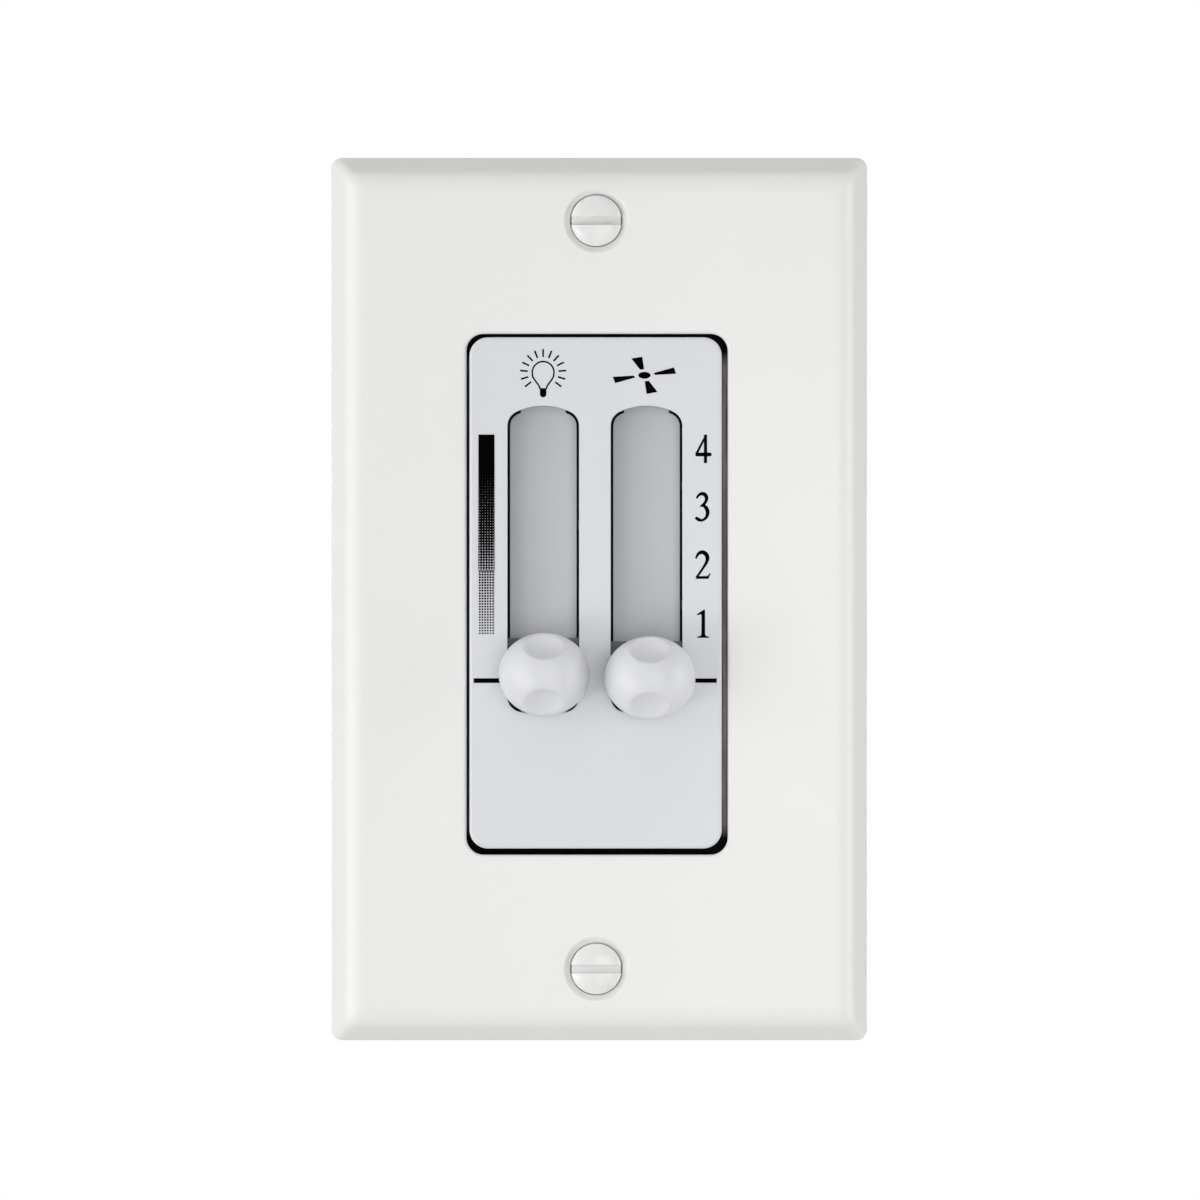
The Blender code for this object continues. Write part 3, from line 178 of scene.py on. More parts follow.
SLOT_UP = 0.8  # from a flat head's seat to its slot's floor
UNDER_HEAD = 0.2
CUT_REACH = 4.0  # past any screw's head
CASE_SCREW_R = 1.1
CASE_NECK_R = 1.0
CASE_HEAD_H = 1.7
CASE_CROWN_R = 0.4
CASE_CROWN = ((0.55, 0.1), (0.85, 0.5), (1.0, 0.95))  # share of the radius, and way down
CASE_SLOT_UP = 0.9
CASE_SLOT_HALF = 0.35

# Lead bushings
BUSHING_BORE_IN = 2.0
BUSHING_FLANGE = 1.0
BUSHING_FLANGE_T = 1.5
BUSHING_RIM_T = 0.6
BUSHING_CROWN = (1.4, 0.9)
BUSHING_CROWN_IN = 0.5
BUSHING_MOUTH = (0.2, 0.25)
BORE_SOFT = 0.15
BARREL_SOFT = 0.2
FLANGE_SOFT = 0.1
BUSHING_STEPS = 6

# Printed marks
INK_T = 0.02
OFF_LINE_Z = -11.1
OFF_LINE_LEFT = -15.87
OFF_LINE_LEFT_T = 0.6
OFF_LINE_RIGHT = 15.6
OFF_LINE_RIGHT_T = 0.56

# Bulb and fan marks
BULB_X = -6.87
BULB_Z = 28.79
BULB_R = 1.4
BULB_PAST = 5  # degrees that the round runs on past a half circle at each end
BULB_LINE = 0.1
RAY_IN = 2.0
RAY_OUT = 3.0
RAY_STEP = 21.4
RAYS_A_SIDE = 6  # and one straight up
RAY_LINE = 0.11
BULB_NECK = ((1.32, -0.59), (0.94, -1.19), (0.58, -1.67), (0.4, -2.15))
BULB_CAP_R = 0.42
BULB_CAP_TOP = -2.05
BULB_CAP_LOW = -2.82
FAN_MARK_X = 6.24
FAN_MARK_Z = 28.41
FAN_HUB = (0.79, 0.44)
FAN_HUB_SIDES = 48
FAN_SIDE_BLADE = ((1.17, 0.28), (3.8, 1.02), (4.1, 0.2), (1.4, 0.04))
FAN_END_BLADE = ((-0.56, 0.72), (-0.04, 0.78), (-0.28, 2.4), (-1.7, 2.17))

# Tone bar: a halftone scale of square cells
BAR_LEFT = -15.24
BAR_TOP = 20.73
BAR_PITCH = 0.345
BAR_COLUMNS = 6
BAR_ROWS = 75
BAR_TONES = ((0.0, 1.0), (0.17, 1.0), (0.4, 0.9), (0.54, 0.82), (0.69, 0.53), (1.0, 0.3))
BAR_SWITCH = 0.55
BAR_SOLID = 0.995  # more cover than this leaves no hole
BAR_DOT_ROUND = 0.55  # a dot's corner radius, as a share of its half width
BAR_HOLE_SIDES = 8

# Numerals: pen paths of (x, z, half width) about the numeral's middle, and filled outlines
ONE_OUTLINE = (
    (-0.83, 1.22), (0.07, 1.83), (0.23, 1.8), (0.24, -1.36), (0.34, -1.58), (0.74, -1.66),
    (0.74, -1.82), (-0.76, -1.82), (-0.76, -1.66), (-0.36, -1.58), (-0.23, -1.36), (-0.23, 1.15),
    (-0.32, 1.25), (-0.74, 1.08),
)
TWO_PEN = (
    (-0.94, 0.79, 0.05), (-0.72, 1.26, 0.11), (-0.43, 1.55, 0.16), (-0.04, 1.63, 0.2),
    (0.37, 1.39, 0.22), (0.58, 0.94, 0.2), (0.48, 0.4, 0.15), (0.18, -0.14, 0.11),
    (-0.25, -0.79, 0.09), (-0.84, -1.64, 0.1),
)
TWO_FOOT = (
    (-0.99, -1.81), (-0.79, -1.47), (0.56, -1.45), (0.88, -1.08), (0.98, -1.14), (0.7, -1.81),
)
THREE_TOP_PEN = (
    (-0.77, 1.06, 0.05), (-0.47, 1.47, 0.11), (-0.07, 1.68, 0.17), (0.31, 1.57, 0.2),
    (0.54, 1.19, 0.18), (0.48, 0.74, 0.14), (0.17, 0.31, 0.12), (-0.3, 0.04, 0.02),
)
THREE_LOW_PEN = (
    (-0.27, 0.03, 0.02), (0.14, 0.12, 0.12), (0.48, -0.15, 0.19), (0.67, -0.59, 0.2),
    (0.66, -1.01, 0.17), (0.49, -1.4, 0.13), (0.18, -1.68, 0.11), (-0.14, -1.77, 0.12),
    (-0.5, -1.66, 0.17), (-0.74, -1.5, 0.13),
)
PEN_SPREAD = 0.055
PEN_DOT_SIDES = 18
FOUR_STEM = ((0.345, 1.84, 0.15), (0.345, -1.84, 0.15))
FOUR_BAR = ((-0.96, -0.73, 0.19), (0.9, -0.73, 0.19))
FOUR_SLOPE = ((0.4, 1.74, 0.07), (-0.24, 0.5, 0.085), (-0.86, -0.72, 0.1))
NUMERALS = (
    ("1", 13.85, -3.74, (), (ONE_OUTLINE,), ()),
    ("2", 13.82, 3.88, (TWO_PEN,), (TWO_FOOT,), ()),
    ("3", 13.73, 11.41, (THREE_TOP_PEN, THREE_LOW_PEN), (), ((-0.74, -1.5, 0.15),)),
    ("4", 13.8, 18.89, (FOUR_STEM, FOUR_BAR, FOUR_SLOPE), (), ((0.9, -0.73, 0.19),)),
)

# Rings painted on the resistors and the diac
BROWN = (0.18, 0.07, 0.03)
BLACK = (0.01, 0.01, 0.01)
RED = (0.5, 0.03, 0.02)
ORANGE = (0.75, 0.2, 0.02)
GOLD = (0.6, 0.4, 0.1)
TAN = (0.6, 0.45, 0.28)
BLUE = (0.06, 0.14, 0.45)
RING_W = 0.5
RING_STEP = 1.05
RING_FIRST = -1.6  # from the body's middle

# Stage, in metres
FLOOR_Z = -0.55
FLOOR_R = 1.2
FLOOR_SIDES = 96
FLOOR_LIFT = 0.4  # makes the paper look pale without lighting the control from below
SKY_LEFT = 0.33  # the sky's strength towards -X, and its share towards +Z
SKY_ABOVE = 0.29
SKY_BLEND = 0.35

# Softboxes: name, place, width, height, strength at the control, and beam where it is narrow
SOFTBOXES = (
    ("left", (-1.0, -0.62, -0.12), 0.9, 1.2, 0.312),
    ("left_edge", (-1.3, -0.22, 0.0), 0.8, 1.2, 0.09),
    ("left_low", (-0.75, -0.7, -0.6), 0.8, 0.6, 0.4),
    ("right_edge", (1.3, -0.22, 0.0), 0.8, 1.2, 0.46),
    ("top", (0.0, -0.45, 1.1), 1.2, 0.7, 0.13),
    ("near", (0.075, -0.28, -0.03), 0.15, 0.2, 0.25),
    ("back", (0.5, 1.6, -0.2), 0.6, 0.5, 0.06, 50),
    ("back_left", (-0.5, 1.6, -0.2), 0.6, 0.5, 0.03, 50),
)

# Camera
VIEW_X = 0.49
VIEW_Z = -0.67
VIEW_W = 155.3  # width of the view at the plate's face
VIEW_AWAY = 4000.0
SENSOR = 36.0
PLATE_FACE_Y = -5.6
CLIP_NEAR = 0.05  # in metres
CLIP_FAR = 20.0


# ---- measures ----


def measure(node):
    """Lowest corner, highest corner and middle of a node of the frame, in millimetres."""
    low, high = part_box(node)
    low, high = low / MM, high / MM
    return low, high, (low + high) / 2


def middle(node):
    return measure(node)[2]


plate_low, plate_high, plate_mid = measure("wall_plate")
insert_low, insert_high, insert_mid = measure("face_insert")
FACE_Y = insert_low.y


# ---- forms ----


class Form:
    """Closed shells, gathered into one mesh."""

    def __init__(self):
        self.points = []
        self.faces = []

    def loft(self, loops, ring=False):
        """Skin loops of equal length; a ring joins the last to the first, else ends are capped."""
        start = len(self.points)
        count = len(loops[0])
        self.points += [Vector(p) for loop in loops for p in loop]
        pairs = [(i, i + 1) for i in range(len(loops) - 1)]
        if ring:
            pairs.append((len(loops) - 1, 0))
        else:
            last = start + (len(loops) - 1) * count
            self.faces.append(list(range(start, start + count)))
            self.faces.append(list(range(last, last + count)))
        for low, high in pairs:
            for k in range(count):
                after = (k + 1) % count
                near = (start + low * count + k, start + low * count + after)
                far = (start + high * count + after, start + high * count + k)
                self.faces.append([*near, *far])
        return self

    def prism(self, outline, front, back):
        return self.loft([at_y(outline, front), at_y(outline, back)])

    def box(self, x, y, z):
        outline = [(x[0], z[0]), (x[1], z[0]), (x[1], z[1]), (x[0], z[1])]
        return self.prism(outline, *y)

    def turned(self, profile, x=0.0, z=0.0, sides=64, ring=False):
        """Turn (radius, y) points about the Y direction through (x, z)."""
        return self.loft([circle(r, y, x, z, sides) for r, y in profile], ring)

    def ribbon(self, path, front, back):
        """A flat band of changing width along (x, z, half width) points."""
        loops = []
        for i, (x, z, half) in enumerate(path):
            before = Vector(path[max(i - 1, 0)][:2])
            after = Vector(path[min(i + 1, len(path) - 1)][:2])
            along = (after - before).normalized()
            side = Vector((-along.y, along.x)) * half
            left = (x + side.x, z + side.y)
            right = (x - side.x, z - side.y)
            loops.append(
                [
                    (left[0], front, left[1]),
                    (right[0], front, right[1]),
                    (right[0], back, right[1]),
                    (left[0], back, left[1]),
                ]
            )
        return self.loft(loops)

    def make(self, name):
        shape = bmesh.new()
        corners = [shape.verts.new(p * MM) for p in self.points]
        for face in self.faces:
            shape.faces.new([corners[i] for i in face])
        bmesh.ops.recalc_face_normals(shape, faces=shape.faces)
        return object_of(shape, name)


def object_of(shape, name):
    """Turn a bmesh into an object of the scene."""
    mesh = bpy.data.meshes.new(name)
    shape.to_mesh(mesh)
    shape.free()
    made = bpy.data.objects.new(name, mesh)
    bpy.context.scene.collection.objects.link(made)
    return made


def at_y(outline, y):
    return [(x, y, z) for x, z in outline]


def circle(radius, y, x=0.0, z=0.0, sides=64):
    angles = [2 * math.pi * k / sides for k in range(sides)]
    return [(x + radius * math.cos(a), y, z + radius * math.sin(a)) for a in angles]


def arc(centre, radius, start, end, steps):
    angles = [math.radians(start + (end - start) * k / steps) for k in range(steps + 1)]
    return [(centre[0] + radius * math.cos(a), centre[1] + radius * math.sin(a)) for a in angles]


def polygon(centre, radius, sides):
    return arc(centre, radius, 0, 360 - 360 / sides, sides - 1)


def quarter(steps):
    """Angles from 0 to 90 degrees."""
    return [math.radians(90 * k / steps) for k in range(steps + 1)]


def rounded_rect(width, height, radius, x=0.0, z=0.0, steps=12):
    """Outline of a rectangle with round corners, starting at the right of its upper edge."""
    right = width / 2 - radius
    top = height / 2 - radius
    places = [(right, top, 0), (-right, top, 90), (-right, -top, 180), (right, -top, 270)]
    outline = []
    for dx, dz, start in places:
        outline += arc((x + dx, z + dz), radius, start, start + 90, steps)
    return outline


def slot_outline(x, grow=0.0):
    """Outline of a slot with round corners and two crowned ends, made bigger by grow."""
    half_w = SLOT_W / 2 + grow
    half_h = SLOT_H / 2 + grow
    corner = SLOT_CORNER_R + grow
    over = half_w - corner
    outline = []
    for end, end_r in ((1, SLOT_TOP_R), (-1, SLOT_BOTTOM_R)):
        crown = end_r + grow
        rise = math.sqrt((crown - corner) ** 2 - over**2)
        turn = math.degrees(math.atan2(rise, over))
        mid_z = half_h - crown
        corner_z = mid_z + rise
        curve = arc((over, corner_z), corner, 0, turn, SLOT_CORNER_STEPS)
        curve += arc((0, mid_z), crown, turn, 180 - turn, SLOT_CROWN_STEPS)[1:-1]
        curve += arc((-over, corner_z), corner, 180 - turn, 180, SLOT_CORNER_STEPS)
        outline += [(end * a, end * b) for a, b in curve]
    return [(x + a, SLOT_Z + b) for a, b in outline]


def curve_through(points, steps=8):
    """A smooth path through points of any dimension, by Catmull-Rom."""
    path = []
    for i in range(len(points) - 1):
        p0 = points[max(i - 1, 0)]
        p1 = points[i]
        p2 = points[i + 1]
        p3 = points[min(i + 2, len(points) - 1)]
        for k in range(steps):
            t = k / steps
            place = []
            for a, b, c, d in zip(p0, p1, p2, p3):
                bend = (2 * a - 5 * b + 4 * c - d) * t**2 + (3 * b - a - 3 * c + d) * t**3
                place.append(0.5 * (2 * b + (c - a) * t + bend))
            path.append(tuple(place))
    path.append(tuple(points[-1]))
    return path


def combine(target, others, operation):
    """Cut or join each of the others, which are used up."""
    for other in others:
        step = target.modifiers.new("combine", "BOOLEAN")
        step.operation = operation
        step.object = other
    graph = bpy.context.evaluated_depsgraph_get()
    result = bpy.data.meshes.new_from_object(target.evaluated_get(graph))
    target.modifiers.clear()
    target.data = result
    for other in others:
        bpy.data.objects.remove(other)
    return target


def cut(target, *cutters):
    return combine(target, cutters, "DIFFERENCE")


def join(target, *others):
    return combine(target, others, "UNION")


def settle(piece, look, stands_for=(), sharp=35, weighted=False, body=FIXED):
    """Give a finished piece its shading, material and body, and the nodes it stands for."""
    piece.data.materials.clear()
    piece.data.materials.append(look)
    piece.data.shade_smooth()
    piece.data.set_sharp_from_angle(angle=math.radians(sharp))
    if weighted:
        normals = piece.modifiers.new("normals", "WEIGHTED_NORMAL")
        normals.keep_sharp = True
    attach(piece, body)
    if stands_for:
        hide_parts(*stands_for)
    return piece


# ---- materials ----


def add(tree, kind, inputs=None, **settings):
    """Add a shader node, set its options, and fill its inputs with values or other outputs."""
    node = tree.nodes.new("ShaderNode" + kind)
    for key, value in settings.items():
        setattr(node, key, value)
    for key, value in (inputs or {}).items():
        socket = node.inputs[key]
        if isinstance(value, bpy.types.NodeSocket):
            tree.links.new(value, socket)
        else:
            socket.default_value = value
    return node


def start_look(name, roughness, metallic=0.0, **more):
    look = bpy.data.materials.new(name)
    look.use_nodes = True
    tree = look.node_tree
    shader = tree.nodes["Principled BSDF"]
    shader.inputs["Roughness"].default_value = roughness
    shader.inputs["Metallic"].default_value = metallic
    for key, value in more.items():
        shader.inputs[key].default_value = value
    return look, tree, shader


def place_mm(tree, stretch=(1.0, 1.0, 1.0)):
    """The point's place on the piece in millimetres, stretched along an axis for streaks."""
    spot = add(tree, "TexCoord").outputs["Object"]
    scale = tuple(s / MM for s in stretch)
    return add(tree, "Mapping", {"Vector": spot, "Scale": scale}).outputs[0]


def noise(tree, where, scale, detail=3.0):
    return add(tree, "TexNoise", {"Vector": where, "Scale": scale, "Detail": detail}).outputs[0]


def spread(tree, value, low, high, to_low, to_high):
    inputs = {0: value, 1: low, 2: high, 3: to_low, 4: to_high}
    return add(tree, "MapRange", inputs).outputs[0]


def blend_colours(tree, factor, first, second):
    inputs = {0: factor}
    for index, colour in ((6, first), (7, second)):
        inputs[index] = colour if isinstance(colour, bpy.types.NodeSocket) else (*colour, 1.0)
    return add(tree, "Mix", inputs, data_type="RGBA").outputs[2]


def darker(colour, amount):
    return tuple(c * (1 - amount) for c in colour)


def edge_mask(tree, radius):
    """1 on sharp edges and 0 elsewhere, within a radius in millimetres."""
    soft = add(tree, "Bevel", {"Radius": radius * MM}, samples=4).outputs[0]
    true = add(tree, "NewGeometry").outputs["Normal"]
    same = add(tree, "VectorMath", {0: soft, 1: true}, operation="DOT_PRODUCT").outputs["Value"]
    return spread(tree, same, 0.995, 0.9, 0.0, 1.0)


def bump(tree, shader, height, depth, strength=1.0, normal=None):
    """Raise the surface by a height map of the given depth in millimetres."""
    inputs = {"Height": height, "Distance": depth * MM, "Strength": strength}
    if normal:
        inputs["Normal"] = normal
    made = add(tree, "Bump", inputs).outputs[0]
    tree.links.new(made, shader.inputs["Normal"])
    return made


def finish_look(tree, shader, base, cloud, smooth, rough):
    """Connect a look's colour, and its roughness, which follows a cloud map."""
    tree.links.new(base, shader.inputs["Base Color"])
    uneven = spread(tree, cloud, *MID_NOISE, smooth, rough)
    tree.links.new(uneven, shader.inputs["Roughness"])


def moulded(
    name, colour, roughness, grain=0.25, depth=0.004, mottle=0.03, wear=0.0, gloss=0.05, **more
):
    """Injection-moulded plastic: faint flow mottling, fine spark grain, uneven gloss."""
    look, tree, shader = start_look(name, roughness, **more)
    where = place_mm(tree)
    flow = noise(tree, place_mm(tree, (0.05, 0.05, 0.02)), 1.0, 4.0)
    fine = noise(tree, where, 1 / grain, 2.0)
    shade = spread(tree, flow, *MID_NOISE, 0.0, 1.0)
    base = blend_colours(tree, shade, darker(colour, mottle), colour)
    speck = spread(tree, fine, 0.35, 0.75, 0.0, 0.5)
    base = blend_colours(tree, speck, base, darker(colour, mottle * 1.5))
    if wear:
        edge = edge_mask(tree, 0.25)
        scuff = noise(tree, where, 1.4, 3.0)
        worn = add(tree, "Math", {0: edge, 1: scuff}, operation="MULTIPLY").outputs[0]
        lighter = tuple(c + (0.9 - c) * wear for c in colour)
        base = blend_colours(tree, worn, base, lighter)
    sheen = noise(tree, place_mm(tree, (0.3, 0.3, 0.3)), 1.0, 3.0)
    finish_look(tree, shader, base, sheen, roughness - gloss, roughness + gloss)
    bump(tree, shader, fine, depth)
    return look


def painted_gap_light(tree):
    """Painted light in the gaps beside the insert: 1 on the right strip and less on the left one,
    dimmer as painted shade, with ragged ends; 0 elsewhere.
    """
    where = add(tree, "SeparateXYZ", {0: place_mm(tree)})
    ragged = noise(tree, place_mm(tree, (1.0, 1.0, 0.3)), 1.0, 3.0)
    right = spread(tree, where.outputs["X"], GAP_LIGHT_NEAR, GAP_LIGHT_FAR, 0.0, 1.0)
    left = spread(tree, where.outputs["X"], -GAP_LIGHT_NEAR, -GAP_LIGHT_FAR, 0.0, GAP_LIGHT_LEFT)
    across = add(tree, "Math", {0: left, 1: right}, operation="ADD").outputs[0]
    height = add(tree, "Math", {0: where.outputs["Z"]}, operation="ABSOLUTE").outputs[0]
    ends = add(tree, "Math", {0: height, 1: ragged}, operation="ADD").outputs[0]
    along = spread(tree, ends, GAP_LIGHT_REACH - 1.0, GAP_LIGHT_REACH + 1.0, 1.0, 0.0)
    both = add(tree, "Math", {0: across, 1: along}, operation="MULTIPLY").outputs[0]
    patchy = spread(tree, ragged, *MID_NOISE, 0.75, 1.0)
    return add(tree, "Math", {0: both, 1: patchy}, operation="MULTIPLY").outputs[0]


def metal(name, colour, roughness, streaks, wear=0.5, gap_light=None):
    """Rolled or plated metal: drawn streaks, cloudy tarnish and bright rubbed edges.

    A gap light is a colour painted on strips down both sides, standing in for the light seen in
    the gaps beside the insert.
    """
    look, tree, shader = start_look(name, roughness, 1.0)
    lines = noise(tree, place_mm(tree, streaks), 1.0, 5.0)
    cloud = noise(tree, place_mm(tree), 0.35, 4.0)
    shade = spread(tree, cloud, 0.35, 0.7, 0.0, 1.0)
    base = blend_colours(tree, shade, darker(colour, 0.3), colour)
    edge = edge_mask(tree, 0.2)
    bright = tuple(c + (0.95 - c) * wear for c in colour)
    base = blend_colours(tree, edge, base, bright)
    # painted light: lighter strips down the sides, where the gaps beside the insert show the strap
    if gap_light:
        base = blend_colours(tree, painted_gap_light(tree), base, gap_light)
    finish_look(tree, shader, base, lines, roughness - 0.1, roughness + 0.12)
    bump(tree, shader, lines, 0.006)
    return look


def painted_metal(name, colour, roughness):
    """Sprayed enamel on a screw: orange-peel skin, thin on the edges."""
    look, tree, shader = start_look(name, roughness, 0.0)
    shader.inputs["Coat Weight"].default_value = 0.35
    shader.inputs["Coat Roughness"].default_value = 0.12
    peel = noise(tree, place_mm(tree), 2.2, 2.0)
    cloud = noise(tree, place_mm(tree), 0.5, 3.0)
    base = blend_colours(tree, cloud, darker(colour, 0.05), colour)
    edge = edge_mask(tree, 0.12)
    chip = noise(tree, place_mm(tree), 3.0, 4.0)
    patchy = add(tree, "Math", {0: edge, 1: chip}, operation="MULTIPLY").outputs[0]
    base = blend_colours(tree, spread(tree, patchy, 0.3, 0.9, 0.0, 0.5), base, (0.45, 0.45, 0.44))
    finish_look(tree, shader, base, cloud, roughness - 0.05, roughness + 0.08)
    bump(tree, shader, peel, 0.01)
    return look


def fibrous(name, colour, second, roughness, stretch):
    """Pressed or laminated sheet with fibres lying along one direction."""
    look, tree, shader = start_look(name, roughness)
    fibres = noise(tree, place_mm(tree, stretch), 1.0, 6.0)
    shade = spread(tree, fibres, 0.35, 0.65, 0.0, 1.0)
    base = blend_colours(tree, shade, colour, second)
    finish_look(tree, shader, base, fibres, roughness - 0.08, roughness + 0.08)
    bump(tree, shader, fibres, 0.02)
    return look


def circuit_laminate(name):
    """Green lacquer over copper tracks, with tinned pads."""
    look, tree, shader = start_look(name, 0.35)
    where = place_mm(tree)
    bricks = add(tree, "TexBrick", {"Vector": where, "Scale": 0.22, "Mortar Size": 0.03})
    track = spread(tree, bricks.outputs["Fac"], 0.2, 0.6, 0.0, 1.0)
    lacquer = blend_colours(tree, track, (0.02, 0.13, 0.06), (0.05, 0.24, 0.1))
    cells = add(tree, "TexVoronoi", {"Vector": where, "Scale": 0.3}).outputs["Distance"]
    pad = spread(tree, cells, 0.16, 0.2, 1.0, 0.0)
    base = blend_colours(tree, pad, lacquer, (0.62, 0.62, 0.6))
    tree.links.new(base, shader.inputs["Base Color"])
    tree.links.new(spread(tree, pad, 0.0, 1.0, 0.35, 0.22), shader.inputs["Roughness"])
    bump(tree, shader, track, 0.03)
    return look


def banded(name, body, bands, first_x, step, width):
    """A lacquered part with painted rings, placed along X from first_x in millimetres."""
    look, tree, shader = start_look(name, 0.42)
    where = place_mm(tree)
    cloud = noise(tree, where, 0.9, 3.0)
    base = blend_colours(tree, cloud, darker(body, 0.12), body)
    along = add(tree, "SeparateXYZ", {0: where}).outputs["X"]
    for k, band in enumerate(bands):
        centre = first_x + k * step
        off = add(tree, "Math", {0: along, 1: centre}, operation="SUBTRACT").outputs[0]
        away = add(tree, "Math", {0: off}, operation="ABSOLUTE").outputs[0]
        ring = spread(tree, away, width / 2 - 0.04, width / 2 + 0.04, 1.0, 0.0)
        base = blend_colours(tree, ring, base, band)
    finish_look(tree, shader, base, cloud, 0.36, 0.5)
    bump(tree, shader, noise(tree, where, 4.0, 2.0), 0.01)
    return look


def printed(name, colour):
    """Pad-printed ink: nearly black, slightly uneven in cover and gloss."""
    look, tree, shader = start_look(name, 0.5)
    shader.inputs["Specular IOR Level"].default_value = 0.01
    cover = noise(tree, place_mm(tree), 1.2, 4.0)
    base = blend_colours(tree, cover, colour, tuple(c * 1.6 for c in colour))
    finish_look(tree, shader, base, cover, 0.42, 0.6)
    bump(tree, shader, noise(tree, place_mm(tree), 6.0, 2.0), 0.004)
    return look


PLATE_LOOK = moulded("plate_white", (0.86, 0.86, 0.845), 0.38, grain=0.35, mottle=0.02)
INSERT_LOOK = moulded("insert_white", (0.722, 0.738, 0.768), 0.4, grain=0.3, mottle=0.02)
KNOB_LOOK = moulded(
    "knob_white", (0.715, 0.72, 0.74), 0.33, grain=0.4, depth=0.0005, mottle=0.006, gloss=0.015
)
FLOOR_LOOK = moulded("floor_grey", (0.575, 0.585, 0.605), 0.5, grain=0.3, mottle=0.04)
CARRIER_LOOK = moulded(
    "carrier_grey", (0.16, 0.164, 0.165), 0.45, grain=0.25, mottle=0.08, wear=0.2
)
BLACK_LOOK = moulded(
    "black_plastic", (0.022, 0.022, 0.024), 0.44, grain=0.3, depth=0.012, mottle=0.1, wear=0.08
)
PAINTED_LOOK = painted_metal("painted_steel", (0.84, 0.84, 0.83), 0.3)
ZINC_LOOK = metal("zinc_steel", (0.66, 0.66, 0.63), 0.32, streaks=(1.0, 1.0, 1.0))
# the black strap carries painted light: lighter strips where it shows in the gaps beside the
# insert
STRAP_LOOK = metal(
    "black_anodised",
    (0.006, 0.006, 0.0065),
    0.4,
    streaks=(5.0, 1.0, 0.15),
    wear=0.12,
    gap_light=(0.26, 0.215, 0.21),
)
GREEN_LOOK = metal("green_steel", (0.06, 0.34, 0.12), 0.34, streaks=(1.0, 1.0, 1.0), wear=0.25)
FIBRE_LOOK = fibrous("fibre", (0.2, 0.13, 0.08), (0.34, 0.25, 0.17), 0.8, (1.0, 6.0, 3.0))
PHENOLIC_LOOK = fibrous("phenolic", (0.24, 0.12, 0.05), (0.36, 0.21, 0.1), 0.55, (0.8, 5.0, 0.3))
BOARD_LOOK = circuit_laminate("board_green")
BRASS_LOOK = metal("brass", (0.78, 0.6, 0.28), 0.3, streaks=(1.0, 1.0, 5.0))
GREY_CAP_LOOK = moulded("capacitor_grey", (0.48, 0.5, 0.5), 0.46, grain=0.4, mottle=0.06)
YELLOW_CAP_LOOK = moulded("capacitor_yellow", (0.8, 0.52, 0.05), 0.4, grain=0.4, mottle=0.06)
FERRITE_LOOK = moulded("ferrite", (0.5, 0.5, 0.14), 0.6, grain=0.2, depth=0.02, mottle=0.15)
COPPER_LOOK = metal("copper", (0.72, 0.3, 0.12), 0.26, streaks=(2.0, 2.0, 2.0))
PAD_LOOK = moulded("silicone_pad", (0.45, 0.48, 0.58), 0.68, grain=0.15, depth=0.01, mottle=0.08)
INK_LOOK = printed("ink", (0.0007, 0.0007, 0.0009))


# ---- wall plate ----


def plate_outline(inset, radius):
    size = plate_high - plate_low
    width, height = size.x - 2 * inset, size.z - 2 * inset
    return rounded_rect(width, height, radius, plate_mid.x, plate_mid.z)


def plate_outer_loops():
    """From the rim at the wall, up the steep bevel and over the soft shoulder."""
    face = -plate_low.y
    loops = []
    for inset, out in PLATE_RIM_ROUND:
        loops.append(at_y(plate_outline(inset, PLATE_CORNER_R - inset), -out))
    for inset, out in PLATE_RIM_TOP:
        loops.append(at_y(plate_outline(inset, PLATE_CORNER_R), -out))
    foot = Vector((PLATE_FOOT_IN, PLATE_FOOT_OUT))
    top = Vector((PLATE_BEVEL_IN, PLATE_BEVEL_OUT))
    slope = (top.y - foot.y) / (top.x - foot.x)
    knee = Vector((top.x + (face - top.y) / slope, face))
    end = Vector((PLATE_SOFT_IN, face))
    loops.append(at_y(plate_outline(foot.x, PLATE_CORNER_R), -foot.y))
    for k in range(PLATE_SHOULDER_STEPS + 1):
        t = k / PLATE_SHOULDER_STEPS
        place = top.lerp(knee, t).lerp(knee.lerp(end, t), t)
        radius = PLATE_BEVEL_R + (PLATE_SOFT_R - PLATE_BEVEL_R) * t
        loops.append(at_y(plate_outline(place.x, radius), -place.y))
    return loops


def plate_opening_loops():
    """From the face, round the opening's soft edge and back through the plate."""
    loops = []
    for a in quarter(EDGE_STEPS):
        grow = OPENING_EDGE_R * (1 - math.sin(a))
        depth = OPENING_EDGE_R * (1 - math.cos(a))
        size = (OPENING_W + 2 * grow, OPENING_H + 2 * grow, OPENING_R + grow)
        loops.append(at_y(rounded_rect(*size, OPENING_X, OPENING_Z), depth + plate_low.y))
    last = rounded_rect(OPENING_W, OPENING_H, OPENING_R, OPENING_X, OPENING_Z)
    loops.append(at_y(last, PLATE_WALL + plate_low.y))
    return loops


def plate_inner_loops():
    """The hollow back, from the opening out to the rim."""
    shoulder = at_y(plate_outline(PLATE_HOLLOW_IN, PLATE_INNER_R), PLATE_WALL + plate_low.y)
    slope_foot = at_y(plate_outline(PLATE_RIM_WALL, PLATE_INNER_R), -PLATE_HOLLOW_FOOT)
    rim = at_y(plate_outline(PLATE_RIM_WALL, PLATE_INNER_R), 0)
    return [shoulder, slope_foot, rim]


